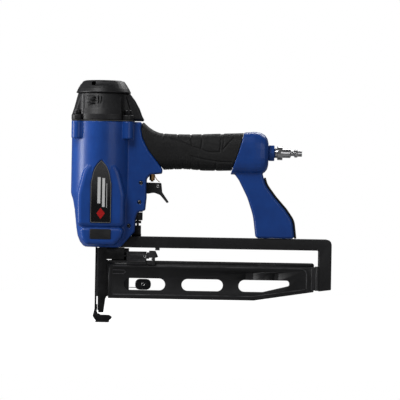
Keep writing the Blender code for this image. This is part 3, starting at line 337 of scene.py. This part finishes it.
coat_bare = add(coat_group, "ShaderNodeNewGeometry")
coat_rim = add(
    coat_group, "ShaderNodeMapRange",
    {"Value": coat_bare.outputs["Pointiness"], "From Min": 0.52, "From Max": 0.60, "To Min": 0.0,
        "To Max": 1.0},
)
coat_chips = add(
    coat_group, "ShaderNodeMapRange",
    {"Value": coat_speck.outputs[0], "From Min": 0.38, "From Max": 0.62, "To Min": 0.25, "To Max": 1.0},
)
coat_worn = add(coat_group, "ShaderNodeMath", {0: coat_rim.outputs[0], 1: coat_chips.outputs[0]},
    operation="MULTIPLY")
coat_wear = add(
    coat_group, "ShaderNodeMath", {0: coat_worn.outputs[0], 1: coat_in.outputs["Edge Wear"]},
    operation="MULTIPLY"
)
coat_shade = blend_colours(coat_group, coat_spread.outputs[0], coat_in.outputs["Colour"],
    coat_in.outputs["Shade"])
coat_group.links.new(
    blend_colours(coat_group, coat_wear.outputs[0], coat_shade, coat_in.outputs["Edge Colour"]),
    coat_out.inputs["Colour"]
)
coat_polish = add(
    coat_group, "ShaderNodeMapRange",
    {
        "Value": coat_speck.outputs[0], "From Min": 0.3, "From Max": 0.7, "To Min": coat_in.outputs["Smooth"],
        "To Max": coat_in.outputs["Dull"],
    },
)
coat_group.links.new(coat_polish.outputs[0], coat_out.inputs["Roughness"])
coat_group.links.new(coat_peel.outputs[0], coat_out.inputs["Height"])


def coated(
    name, colour, shade, edge_colour, edge_wear, smooth, dull, peel, bump, metallic=0.0, blotch=45.0,
    coat=0.0,
    specular=0.35,
):
    """A sprayed, plated or bare metal finish made from the coat group."""
    look = bpy.data.materials.new(name)
    look.use_nodes = True
    tree = look.node_tree
    shader = tree.nodes["Principled BSDF"]
    skin = tree.nodes.new("ShaderNodeGroup")
    skin.node_tree = coat_group
    for key, value in (
        ("Colour", (*colour, 1)), ("Shade", (*shade, 1)), ("Edge Colour", (*edge_colour, 1)),
        ("Edge Wear", edge_wear),
        ("Blotch Scale", blotch), ("Peel Scale", peel), ("Smooth", smooth), ("Dull", dull),
    ):
        skin.inputs[key].default_value = value
    relief = add(tree, "ShaderNodeBump",
        {"Height": skin.outputs["Height"], "Strength": bump, "Distance": 0.0004})
    tree.links.new(skin.outputs["Colour"], shader.inputs["Base Color"])
    tree.links.new(skin.outputs["Roughness"], shader.inputs["Roughness"])
    tree.links.new(relief.outputs[0], shader.inputs["Normal"])
    shader.inputs["Metallic"].default_value = metallic
    shader.inputs["Specular IOR Level"].default_value = specular
    shader.inputs["Coat Weight"].default_value = coat
    shader.inputs["Coat Roughness"].default_value = 0.15
    return look


blue_enamel = coated(
    "blue_enamel", (0.0075, 0.060, 0.300), (0.006, 0.048, 0.250), (0.035, 0.13, 0.42), 0.45, 0.30, 0.42,
    1300.0, 0.10,
    coat=0.12,
)
body = moulded("housing", "cast_body", 0.0008, 4)
rounded(body, "housing")
thin_coat(body, "housing", (-0.115, -0.0145, -0.115), (-0.045, 0.0145, -0.028))
fit(body, ["housing"], "tool_body", "blue_enamel", blue_enamel)

# --- Side plates --------------------------------------------------------------------------------
# Thin printed aluminium plates glued into the casting's shallow recesses: a pointed one on the arch of
# each side and a plain dark one below it. The pointed one fades from black to grey towards its tip,
# inside a fine silver line, and carries plain stripes and a lozenge.

print_group, print_in, print_out = new_group(
    "printed_bar",
    {
        "Middle X": ("Float", 0.0), "Middle Z": ("Float", 0.0), "Half Width": ("Float", 0.001),
        "Half Height": ("Float", 0.01), "Diamond": ("Float", 0.0),
    },
    {"Mask": "Float"},
)
print_place = add(print_group, "ShaderNodeSeparateXYZ",
    {0: add(print_group, "ShaderNodeTexCoord").outputs["Object"]})


def sums(tree, operation, first, second=0.0):
    """The socket of one Math node."""
    return add(tree, "ShaderNodeMath", {0: first, 1: second}, operation=operation).outputs[0]


print_z = sums(print_group, "SUBTRACT", print_place.outputs[2], print_in.outputs["Middle Z"])
print_x = sums(print_group, "SUBTRACT", print_place.outputs[0], print_in.outputs["Middle X"])
print_across = sums(
    print_group, "DIVIDE", sums(print_group, "ABSOLUTE", print_x), print_in.outputs["Half Width"]
)
print_up = sums(print_group, "DIVIDE", sums(print_group, "ABSOLUTE", print_z),
    print_in.outputs["Half Height"])
print_box = sums(print_group, "MAXIMUM", print_across, print_up)
print_rhomb = sums(print_group, "ADD", print_across, print_up)
print_far = add(
    print_group, "ShaderNodeMix", {0: print_in.outputs["Diamond"], 2: print_box, 3: print_rhomb},
    data_type="FLOAT"
)
print_group.links.new(sums(print_group, "LESS_THAN", print_far.outputs[0], 1.0), print_out.inputs["Mask"])

plate_black = bpy.data.materials.new("plate_print")
plate_black.use_nodes = True
plate_tree = plate_black.node_tree
plate_shader = plate_tree.nodes["Principled BSDF"]
plate_shader.inputs["Specular IOR Level"].default_value = 0.3
plate_place = add(plate_tree, "ShaderNodeTexCoord")
plate_axes = add(plate_tree, "ShaderNodeSeparateXYZ", {0: plate_place.outputs["Object"]})
plate_fade = add(
    plate_tree, "ShaderNodeMapRange",
    {"Value": plate_axes.outputs[2], "From Min": -0.060, "From Max": -0.012, "To Min": 0.0, "To Max": 1.0},
)
plate_grain = add(
    plate_tree, "ShaderNodeTexNoise", {"Vector": plate_place.outputs["Object"], "Scale": 900.0, "Detail": 4.0}
)
plate_colour = blend_colours(plate_tree, plate_fade.outputs[0], (0.004, 0.004, 0.0045, 1),
    (0.060, 0.060, 0.063, 1))
for x, z, width, height, diamond, ink in (
    (-107.2, -46.5, 1.7, 15.0, 0.0, (0.62, 0.62, 0.62, 1)),
    (-102.0, -49.0, 1.5, 16.5, 0.0, (0.62, 0.62, 0.62, 1)),
    (-98.3, -52.5, 0.35, 14.0, 0.0, (0.45, 0.45, 0.45, 1)),
    (-105.0, -73.0, 4.8, 6.4, 1.0, (0.42, 0.012, 0.012, 1)),
):
    stripe = plate_tree.nodes.new("ShaderNodeGroup")
    stripe.node_tree = print_group
    for key, value in (
        ("Middle X", x / 1000), ("Middle Z", z / 1000), ("Half Width", width / 1000),
        ("Half Height", height / 1000),
        ("Diamond", diamond),
    ):
        stripe.inputs[key].default_value = value
    plate_colour = blend_colours(plate_tree, stripe.outputs["Mask"], plate_colour, ink)
plate_tree.links.new(plate_colour, plate_shader.inputs["Base Color"])
plate_gloss = add(
    plate_tree, "ShaderNodeMapRange",
    {"Value": plate_grain.outputs[0], "From Min": 0.3, "From Max": 0.7, "To Min": 0.22, "To Max": 0.36},
)
plate_tree.links.new(plate_gloss.outputs[0], plate_shader.inputs["Roughness"])
plate_relief = add(plate_tree, "ShaderNodeBump",
    {"Height": plate_grain.outputs[0], "Strength": 0.04, "Distance": 0.0002})
plate_tree.links.new(plate_relief.outputs[0], plate_shader.inputs["Normal"])
silver_line = coated(
    "silver_line", (0.42, 0.42, 0.43), (0.30, 0.30, 0.31), (0.6, 0.6, 0.6), 0.0, 0.25, 0.4, 2200.0, 0.03,
    metallic=0.7,
)
lower_black = coated(
    "lower_black", (0.010, 0.010, 0.011), (0.018, 0.018, 0.019), (0.05, 0.05, 0.05), 0.0, 0.3, 0.42,
    1900.0, 0.10,
)
for side, outward in (("left", -1), ("right", 1)):
    pointed = fresh(f"label_plate_{side}", f"pointed_plate_{side}")
    rim_work = bmesh.new()
    rim_work.from_mesh(pointed.data)
    front = [f for f in rim_work.faces if abs(f.normal.y * outward - 1) < 1e-3]
    if len(front) > 1:
        bmesh.ops.dissolve_faces(rim_work, faces=front)
        front = [f for f in rim_work.faces if abs(f.normal.y * outward - 1) < 1e-3]
    for margin, place in ((0.0005, 0), (0.0004, 1)):
        ring = bmesh.ops.inset_region(rim_work, faces=front, thickness=margin, use_even_offset=True)
        for made in ring["faces"]:
            made.material_index = place
    rim_work.to_mesh(pointed.data)
    rim_work.free()
    fit(pointed, [f"label_plate_{side}"], "tool_body", "label_black", plate_black, silver_line)
    fit(machined(f"badge_{side}", f"lower_plate_{side}", 0.00025), [f"badge_{side}"], "tool_body",
        "label_black", lower_black)

# --- Cap, gasket, bolts and lid -----------------------------------------------------------------
# A black coated cap closes the barrel over a pressed gasket, and four socket bolts hold it. The exhaust
# lid turns on top of it by its middle screw. Small bars stand out beside both of its flanks.


def attach(piece, *extras):
    """Adds loose shapes to a piece's mesh, each with the material place that it already has."""
    work = bmesh.new()
    work.from_mesh(piece.data)
    for extra in extras:
        extra.data.transform(extra.matrix_world)
        work.from_mesh(extra.data)
        bpy.data.objects.remove(extra, do_unlink=True)
    work.to_mesh(piece.data)
    work.free()
    return piece


def bar(low, high, edge=0.0004, steps=2):
    """A block between two corners (metres) with every edge rounded."""
    work = bmesh.new()
    bmesh.ops.create_cube(work, size=1.0)
    bmesh.ops.scale(work, vec=[b - a for a, b in zip(low, high)], verts=work.verts)
    bmesh.ops.translate(work, vec=[(a + b) / 2 for a, b in zip(low, high)], verts=work.verts)
    bmesh.ops.bevel(work, geom=work.edges[:], offset=edge, segments=steps, profile=0.5, affect="EDGES")
    mesh = bpy.data.meshes.new("bar")
    work.to_mesh(mesh)
    work.free()
    mesh.materials.append(None)
    mesh.materials.append(None)
    mesh.shade_smooth()
    mesh.set_sharp_from_angle(angle=math.radians(50))
    made = bpy.data.objects.new("bar", mesh)
    bpy.context.scene.collection.objects.link(made)
    return made


def dowel(start, end, radius, edge=0.0003, sides=28):
    """A round bar between two points, with its rims rounded."""
    run = Vector(end) - Vector(start)
    work = bmesh.new()
    bmesh.ops.create_cone(
        work, cap_ends=True, segments=sides, radius1=radius, radius2=radius,
        depth=run.length,
    )
    rims = [e for e in work.edges if abs(e.verts[0].co.z - e.verts[1].co.z) < 1e-9]
    if edge:
        bmesh.ops.bevel(work, geom=rims, offset=edge, segments=2, profile=0.5, affect="EDGES")
    turn = Vector((0, 0, 1)).rotation_difference(run).to_matrix().to_4x4()
    bmesh.ops.transform(work, matrix=Matrix.Translation((Vector(start) + Vector(end)) / 2) @ turn,
        verts=work.verts)
    mesh = bpy.data.meshes.new("dowel")
    work.to_mesh(mesh)
    work.free()
    mesh.materials.append(None)
    mesh.materials.append(None)
    mesh.shade_smooth()
    mesh.set_sharp_from_angle(angle=math.radians(50))
    made = bpy.data.objects.new("dowel", mesh)
    bpy.context.scene.collection.objects.link(made)
    return made


def mm(x, y, z):
    """A point given in millimetres from the middle of the grip."""
    return (x / 1000, y / 1000, z / 1000)


black_coat = coated(
    "black_coat", (0.0085, 0.0085, 0.0095), (0.013, 0.013, 0.0145), (0.07, 0.07, 0.074), 0.5, 0.36, 0.52,
    1700.0, 0.16,
)
# A lighter copy of the black coat for the rounded edge faces and the beads: a painted highlight where the
# edges catch the light.
black_edge_highlight = coated(
    "black_edge_highlight", (0.075, 0.075, 0.079), (0.019, 0.019, 0.021), (0.10, 0.10, 0.105), 0.0, 0.30, 0.44,
    1700.0, 0.08,
)
dark_steel = coated(
    "dark_steel", (0.030, 0.030, 0.032), (0.016, 0.016, 0.018), (0.42, 0.42, 0.42), 0.0, 0.28, 0.44,
    2600.0, 0.08,
    metallic=0.85, blotch=120.0,
)
# A lighter, brighter copy of the dark steel for the rounded edge faces: a painted highlight along the edges.
steel_edge_highlight = coated(
    "steel_edge_highlight", (0.16, 0.16, 0.165), (0.08, 0.08, 0.083), (0.42, 0.42, 0.42), 0.0, 0.22, 0.36, 2600.0, 0.05,
    metallic=1.0, blotch=160.0,
)
gasket_grey = coated(
    "gasket_grey", (0.075, 0.075, 0.072), (0.05, 0.05, 0.048), (0.5, 0.5, 0.48), 0.0, 0.6, 0.85, 1500.0, 0.3,
)
cap_shown = moulded("cap", "barrel_cap", 0.0007, 3)
for side in (-1, 1):
    for low, high in (
        ((-123.2, 61.2), (-113.8, 62.2)), ((-123.2, 57.7), (-113.8, 58.7)), ((-123.2, 53.6), (-113.8, 54.6)),
        ((-111.0, 53.8), (-110.0, 62.8)), ((-107.8, 53.8), (-106.8, 62.8)),
    ):
        ys = sorted((side * 30.0, side * 33.6))
        mark = bar(mm(low[0], ys[0], low[1]), mm(high[0], ys[1], high[1]), 0.0003)
        attach(cap_shown, mark)
rounded(cap_shown, "cap")
fit(cap_shown, ["cap"], "tool_body", "black_coat", black_coat, black_edge_highlight)
fit(machined("cap_gasket", "pressed_gasket", 0.0001), ["cap_gasket"], "tool_body", "gasket_grey",
    gasket_grey, gasket_grey)
for number in range(1, 5):
    fit(
        machined(f"cap_bolt_{number}", f"socket_bolt_{number}", 0.0003), [f"cap_bolt_{number}"],
        "tool_body", "dark_steel",
        dark_steel, steel_edge_highlight,
    )
lid = moulded("exhaust_deflector", "exhaust_lid", 0.0006, 3)
lid_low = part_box("exhaust_deflector")[0]
rounded(lid, "exhaust_deflector")
attach(lid, bar(mm(-113.4, -23.6, 74.2), mm(-91.4, -19.0, 79.2), 0.0002))
for angle in (160, 172, 184, 196):
    lean = math.radians(angle)
    foot = Vector((-0.105 + 0.0292 * math.cos(lean), 0.0292 * math.sin(lean), lid_low.z + 0.0048))
    tip = Vector((-0.105 + 0.0258 * math.cos(lean), 0.0258 * math.sin(lean), lid_low.z + 0.0106))
    attach(lid, dowel(foot, tip, 0.0007, 0.0002, 10))
fit(lid, ["exhaust_deflector"], "deflector", "black_coat", black_coat, black_edge_highlight)
fit(machined("deflector_screw", "lid_screw", 0.0003), ["deflector_screw"], "deflector", "dark_steel",
    dark_steel, steel_edge_highlight)

# --- Grip sleeve --------------------------------------------------------------------------------
# Soft black rubber moulded over the hollow core. Deep lines part its side into pads for the palm, they
# run on as notches over its top and bottom, and fine ribs cover the lower front, where the fingers lie.

grip = moulded("grip_sleeve", "rubber_grip", 0.0006, 3)
GRIP_LINES = [
    [(-3.1, 24.0), (-2.5, 13.7), (-1.6, 6.3)],
    [(10.1, 24.0), (9.9, 12.9), (9.0, 4.4)],
    [(-25.2, 14.9), (-17.8, 13.2), (-9.3, 9.6), (-1.8, 6.1), (7.7, 3.3), (17.3, -0.2), (30.5, -0.3)],
    [(32.0, 24.0), (31.6, 11.1), (30.5, -0.3)],
    [(34.3, 24.0), (34.8, 11.2), (33.9, 2.5), (40.3, 10.0), (47.0, 17.7)],
    [(-2.7, -5.3), (12.1, -8.8), (29.1, -11.3), (43.8, -11.8)],
]
TOP_NOTCHES = (-34.2, -18.4, -3.1, 10.1, 33.2)
LOW_NOTCHES = (-21.9, -12.0, -2.4, 7.1, 26.1)


def line_distance(x, z, line):
    """How far a point is from a line of points."""
    best = 1e9
    for (ax, az), (bx, bz) in zip(line, line[1:]):
        run = (bx - ax) ** 2 + (bz - az) ** 2
        share = max(0.0, min(1.0, ((x - ax) * (bx - ax) + (z - az) * (bz - az)) / run))
        best = min(best, math.hypot(x - ax - share * (bx - ax), z - az - share * (bz - az)))
    return best


normals = [v.normal.copy() for v in grip.data.vertices]
for vertex, normal in zip(grip.data.vertices, normals):
    x, y, z = (v * 1000 for v in vertex.co)
    if math.hypot(y, z) < 16.5 and abs(y) < 15.2:
        continue
    if normal.y * y + normal.z * z < 0:
        continue
    sink = 0.0
    for line in GRIP_LINES:
        sink = max(sink, 0.95 * math.exp(-((line_distance(x, z, line) / 0.75) ** 2)))
    if z > 10:
        for notch in TOP_NOTCHES:
            sink = max(sink, 0.9 * math.exp(-(((x - notch) / 0.9) ** 2)) * min(1.0, (z - 10) / 6))
    if z < -10:
        for notch in LOW_NOTCHES:
            sink = max(sink, 0.9 * math.exp(-(((x - notch) / 0.9) ** 2)) * min(1.0, (-10 - z) / 6))
    inside = min(1.0, max(0.0, (x + 34) / 4)) * min(1.0, max(0.0, (9 - x) / 4))
    inside *= min(1.0, max(0.0, (-1 - z) / 3))
    sink = max(sink, 0.28 * inside * (0.5 + 0.5 * math.cos(2 * math.pi * x / 2.7)))
    vertex.co -= normal * sink / 1000

rib_group, rib_in, rib_out = new_group(
    "fine_ribs", {"Pitch": ("Float", 0.001), "Waver": ("Float", 0.3)}, {"Height": "Float"}
)
rib_place = add(rib_group, "ShaderNodeTexCoord")
rib_axes = add(rib_group, "ShaderNodeSeparateXYZ", {0: rib_place.outputs["Object"]})
rib_noise = add(rib_group, "ShaderNodeTexNoise",
    {"Vector": rib_place.outputs["Object"], "Scale": 500.0, "Detail": 3.0})
rib_phase = sums(rib_group, "DIVIDE", rib_axes.outputs[0], rib_in.outputs["Pitch"])
rib_shift = sums(rib_group, "MULTIPLY", rib_noise.outputs[0], rib_in.outputs["Waver"])
rib_wave = sums(rib_group, "SINE",
    sums(rib_group, "MULTIPLY", sums(rib_group, "ADD", rib_phase, rib_shift), 6.2832))
rib_group.links.new(sums(rib_group, "ADD", rib_wave,
    sums(rib_group, "MULTIPLY", rib_noise.outputs[0], 3.0)), rib_out.inputs["Height"])

black_rubber = coated(
    "black_rubber", (0.006, 0.006, 0.0063), (0.009, 0.009, 0.0095), (0.028, 0.028, 0.029), 0.9, 0.55, 0.78,
    1500.0, 0.3,
)
grip_rubber = black_rubber.copy()
grip_rubber.name = "grip_rubber"
grip_tree = grip_rubber.node_tree
ribs = grip_tree.nodes.new("ShaderNodeGroup")
ribs.node_tree = rib_group
ribs.inputs["Pitch"].default_value = 0.00115
ribs.inputs["Waver"].default_value = 0.5
rib_bump = add(grip_tree, "ShaderNodeBump",
    {"Height": ribs.outputs["Height"], "Strength": 0.35, "Distance": 0.0003})
grip_tree.links.new(rib_bump.outputs[0], grip_tree.nodes["Principled BSDF"].inputs["Normal"])
fit(grip, ["grip_sleeve"], "tool_body", "black_rubber", grip_rubber, grip_rubber)

# --- Tail bracket, bumper strip and air inlet ---------------------------------------------------
# A second blue casting closes the grip's end and reaches down as the leg of the magazine. A rubber
# strip lies on the back of the leg. The blue hexagon bushing takes the plated quarter-inch air plug.

fit(moulded("tail_bracket", "tail_casting", 0.0007, 4), ["tail_bracket"], "tool_body", "blue_enamel",
    blue_enamel, blue_enamel)
fit(machined("leg_bumper", "bumper_strip", 0.0004), ["leg_bumper"], "tool_body", "black_rubber",
    black_rubber, black_rubber)
# A lighter copy of the blue enamel for the bushing's rounded edges: a painted highlight.
blue_edge_highlight = coated(
    "blue_edge_highlight", (0.03, 0.10, 0.33), (0.0085, 0.048, 0.215), (0.05, 0.13, 0.36), 0.0, 0.28, 0.40, 1300.0,
    0.05,
)
fit(machined("inlet_bushing", "hex_bushing", 0.0005), ["inlet_bushing"], "tool_body", "blue_enamel",
    blue_enamel, blue_edge_highlight)
bright_steel = coated(
    "bright_steel", (0.60, 0.60, 0.61), (0.42, 0.42, 0.43), (0.85, 0.85, 0.85), 0.0, 0.10, 0.24, 2600.0, 0.03,
    metallic=1.0, blotch=160.0,
)
# A lighter copy of the plated steel for the rounded edge faces: a painted highlight.
bright_edge_highlight = coated(
    "bright_edge_highlight", (0.78, 0.78, 0.79), (0.6, 0.6, 0.6), (0.85, 0.85, 0.85), 0.0, 0.10, 0.2, 2600.0, 0.02,
    metallic=1.0, blotch=160.0,
)
fit(machined("air_plug", "plated_plug", 0.00025), ["air_plug"], "tool_body", "bright_steel", bright_steel,
    bright_edge_highlight)
brass = coated(
    "brass", (0.60, 0.36, 0.15), (0.42, 0.24, 0.10), (0.8, 0.6, 0.3), 0.0, 0.2, 0.4, 2200.0, 0.06,
    metallic=1.0, blotch=200.0,
)
# A lighter copy of the brass for the rounded edge faces: a painted highlight.
brass_edge_highlight = coated(
    "brass_edge_highlight", (0.75, 0.5, 0.25), (0.6, 0.36, 0.15), (0.8, 0.6, 0.3), 0.0, 0.2, 0.35, 2200.0, 0.04,
    metallic=1.0, blotch=200.0,
)
black_plastic = coated(
    "black_plastic", (0.013, 0.013, 0.014), (0.02, 0.02, 0.021), (0.05, 0.05, 0.05), 0.0, 0.38, 0.5,
    1600.0, 0.12,
)
fit(machined("tail_seal", "tail_gasket", 0.0002), ["tail_seal"], "tool_body", "black_rubber", black_rubber,
    black_rubber)

# --- Cylinder, piston and head valve ------------------------------------------------------------
# Inside the barrel a honed steel sleeve guides a light piston with a rubber ring, the driver blade hangs
# from the piston, a rubber bumper stops it, and a moulded valve under a coil spring opens the air.


def stand_in(node, name, width, *looks):
    """A machined piece that stands for one node, on the node's own body."""
    slot = next(p["material_slot"] for p in frame["record"]["subparts"] if p["node"] == node)
    return fit(machined(node, name, width), [node], frame["nodes"][node]["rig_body"], slot, *looks)


coil_edge = 0.00005
fine_edge = 0.0002
broken_edge = 0.0003
stand_in("cylinder_sleeve", "honed_sleeve", broken_edge, bright_steel, bright_edge_highlight)
stand_in("piston", "turned_piston", broken_edge, bright_steel, bright_edge_highlight)
stand_in("piston_ring", "rubber_ring", fine_edge, black_rubber, black_rubber)
stand_in("piston_bumper", "rubber_bumper", 0.0008, black_rubber, black_rubber)
stand_in("driver_blade", "ground_blade", 0.0001, dark_steel, steel_edge_highlight)
stand_in("head_valve", "moulded_valve", broken_edge, black_plastic, black_plastic)
stand_in("head_valve_spring", "valve_coil", coil_edge, bright_steel, bright_edge_highlight)

# --- Trigger, its pins and the trigger valve ----------------------------------------------------
# The trigger is a coated casting on a cross pin, with a pressed steel lever inside it that lifts the
# brass valve's stem. A thin brass wire spring holds the trigger down. Two more pins cross the web.

stand_in("trigger", "cast_trigger", 0.0004, black_coat, black_edge_highlight)
stand_in("trigger_spring", "wire_spring", coil_edge, brass, brass_edge_highlight)
stand_in("safety_lever", "pressed_lever", fine_edge, dark_steel, steel_edge_highlight)
stand_in("safety_lever_pin", "lever_rivet", fine_edge, dark_steel, steel_edge_highlight)
for pin in ("trigger_pin", "guide_pin_upper", "guide_pin_lower"):
    stand_in(pin, pin + "_steel", broken_edge, dark_steel, steel_edge_highlight)
stand_in("trigger_valve_body", "brass_body", fine_edge, brass, brass_edge_highlight)
stand_in("trigger_valve_stem", "brass_stem", fine_edge, brass, brass_edge_highlight)
stand_in("trigger_valve_spring", "stem_coil", coil_edge, bright_steel, bright_edge_highlight)

# --- Contact arm, depth wheel and foot ----------------------------------------------------------
# Oxide-black pressed steel: the arm runs beside the nose, the knurled wheel on its stud sets the depth,
# and a rubber pad closes the hooked foot. A small coil spring pushes the arm down.

stand_in("safety_lifter", "pressed_lifter", fine_edge, dark_steel, steel_edge_highlight)
stand_in("depth_wheel", "knurled_wheel", broken_edge, black_coat, black_edge_highlight)
arm = machined("contact_arm", "bent_arm", 0.0004)
attach(arm, bar(mm(-109.6, -3.8, -185.0), mm(-108.4, 3.8, -178.6), 0.0002))
fit(arm, ["contact_arm"], frame["nodes"]["contact_arm"]["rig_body"], "dark_steel", dark_steel, steel_edge_highlight)
stand_in("no_mar_pad", "foot_pad", 0.0004, black_rubber, black_rubber)
stand_in("contact_spring", "arm_coil", coil_edge, dark_steel, steel_edge_highlight)

# --- Nose ---------------------------------------------------------------------------------------
# A hardened steel nosepiece guides the blade and the nail. A coated cover plate closes its front, held
# by two small screws with flat heads.

nose_steel = coated(
    "nose_steel", (0.020, 0.020, 0.021), (0.010, 0.010, 0.011), (0.3, 0.3, 0.3), 0.0, 0.30, 0.46, 2600.0,
    0.10,
    metallic=0.6, blotch=120.0,
)
nose = machined("nosepiece", "hardened_nose", 0.0004)
for side in (-1, 1):
    near, far = sorted((side * 2.4, side * 7.6))
    attach(nose, bar(mm(-98.6, near, -169.0), mm(-96.45, far, -127.0), 0.0003))
fit(nose, ["nosepiece"], "tool_body", "dark_steel", nose_steel, steel_edge_highlight)
cover = machined("nose_cover", "front_cover", 0.0003)
attach(cover, bar(mm(-107.8, -3.8, -185.5), mm(-107.1, 3.8, -168.0), 0.0002))
fit(cover, ["nose_cover"], "tool_body", "black_coat", black_coat, black_edge_highlight)
for number in (1, 2):
    stand_in(f"cover_screw_{number}", f"small_screw_{number}", fine_edge, dark_steel, steel_edge_highlight)

# --- Magazine frame -----------------------------------------------------------------------------
# One coated bar with a turned-down rear upright, screwed under the blue leg by two hidden screws and
# pegged to the nose by two steel dowels. Its long edges are broken, and a lighter black on them is a painted
# highlight.

magazine_bar = machined("magazine_frame", "magazine_bar", 0.0009, 3)
for side in (-1, 1):
    near, far = sorted((side * 7.15, side * 9.3))
    attach(magazine_bar, bar(mm(138.8, near, -158.2), mm(145.0, far, -131.5), 0.0008, 3))
fit(magazine_bar, ["magazine_frame"], "tool_body", "black_coat", black_coat, black_edge_highlight)
for number in (1, 2):
    stand_in(f"leg_screw_{number}", f"leg_bolt_{number}", fine_edge, dark_steel, steel_edge_highlight)
    stand_in(f"magazine_dowel_{number}", f"steel_dowel_{number}", fine_edge, dark_steel, steel_edge_highlight)

# --- Sliding rail -------------------------------------------------------------------------------
# A coated light-alloy rail that slides back out of the frame's fork. Along each side run a groove near
# the top, a round bead that turns down at the rear, and a thin bead on the lower ledge.


def carve(piece, *tools):
    """Cuts shapes out of a piece, then removes them."""
    for tool in tools:
        cut = piece.modifiers.new("carve", "BOOLEAN")
        cut.operation = "DIFFERENCE"
        cut.solver = "EXACT"
        cut.object = tool
        settle(piece)
        bpy.data.objects.remove(tool, do_unlink=True)
    return piece


def rope(points, radius, place=0):
    """A round bead along a line of points."""
    line = bpy.data.curves.new("rope", "CURVE")
    line.dimensions = "3D"
    line.bevel_depth = radius
    line.bevel_resolution = 3
    line.use_fill_caps = True
    run = line.splines.new("POLY")
    run.points.add(len(points) - 1)
    for dot, point in zip(run.points, points):
        dot.co = (*point, 1)
    made = bpy.data.objects.new("rope", line)
    bpy.context.scene.collection.objects.link(made)
    bpy.context.view_layer.update()
    mesh = bpy.data.meshes.new_from_object(made.evaluated_get(bpy.context.evaluated_depsgraph_get()))
    bpy.data.objects.remove(made, do_unlink=True)
    mesh.materials.clear()
    mesh.materials.append(None)
    mesh.materials.append(None)
    for face in mesh.polygons:
        face.material_index = place
    mesh.shade_smooth()
    made = bpy.data.objects.new("rope", mesh)
    bpy.context.scene.collection.objects.link(made)
    return made


rail = machined("magazine_rail", "sliding_rail", 0.0006)
carve(
    rail,
    *[
        bar(mm(-97.5, min(side * 6.0, side * 9), -131.2), mm(143.5, max(side * 6.0, side * 9), -129.7),
            0.0001)
        for side in (-1, 1)
    ],
    *[
        bar(mm(x, min(side * 5.5, side * 9), low), mm(x + width, max(side * 5.5, side * 9), high), 0.0001)
        for side in (-1, 1) for x, width, low,
        high in ((96.5, 4.6, -147.0, -139.2), (63.0, 9.0, -147.0, -139.2))
    ],
)
# The beads take the second finish, the lighter black of the painted edge highlight.
for side in (-1, 1):
    deep = side * 5.95
    attach(
        rail,
        rope(
            [mm(-91, deep, -133.3), mm(126.5, deep, -133.3), mm(130.2, deep, -134.2), mm(132.8, deep, -136.6),
             mm(133.8, deep, -140.4), mm(133.8, deep, -156.5)], 0.00085, 1,
        ),
        rope([mm(-91, deep, -166.6), mm(70.5, deep, -166.6), mm(132, deep, -157.6)], 0.00075, 1),
        rope([mm(-91, side * 6.1, -138.2), mm(-78, side * 6.1, -138.2), mm(-75.6, side * 6.1, -140.4),
              mm(-78, side * 6.1, -142.6), mm(-91, side * 6.1, -142.6)], 0.0005, 1),
    )
fit(rail, ["magazine_rail"], frame["nodes"]["magazine_rail"]["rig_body"], "black_coat", black_coat, black_edge_highlight)

# --- Pusher and its spring ----------------------------------------------------------------------
# A steel pusher with a blade rides in the rail behind the nails. A blued flat spring coiled on a pin
# pulls it forward; its roll shows through the rail's front slot.

blued_steel = coated(
    "blued_steel", (0.020, 0.020, 0.023), (0.008, 0.008, 0.010), (0.3, 0.3, 0.3), 0.0, 0.25, 0.42, 2600.0,
    0.08,
    metallic=0.7, blotch=300.0,
)
stand_in("pusher", "steel_pusher", broken_edge, dark_steel, steel_edge_highlight)
stand_in("pusher_spring_roll", "coiled_spring", broken_edge, blued_steel, steel_edge_highlight)
stand_in("spring_roll_pin", "roll_pin", fine_edge, dark_steel, steel_edge_highlight)

# --- Magazine latch -----------------------------------------------------------------------------
# A coated block on the rail's front carries a sprung lever on a pin. Pressing the lever's thumb tab lets
# the rail slide back. Two beads and a short round rod show on the block's side.

block = machined("latch_block", "latch_housing", 0.0003)
# The two beads take the second finish, the lighter black of the painted edge highlight.
attach(
    block,
    rope([mm(-74.0, -9.4, -120.6), mm(-53.5, -9.4, -120.6)], 0.0006, 1),
    rope([mm(-74.0, -9.4, -127.8), mm(-53.5, -9.4, -127.8)], 0.0005, 1),
    dowel(mm(-79.5, -6.2, -121.5), mm(-75.2, -6.2, -121.5), 0.0014, 0.0003, 16),
)
fit(block, ["latch_block"], frame["nodes"]["latch_block"]["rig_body"], "black_coat", black_coat, black_edge_highlight)
stand_in("latch_lever", "latch_thumb_lever", broken_edge, black_coat, black_edge_highlight)
stand_in("latch_pin", "latch_rivet", fine_edge, dark_steel, steel_edge_highlight)
stand_in("latch_spring", "latch_coil", coil_edge, bright_steel, bright_edge_highlight)
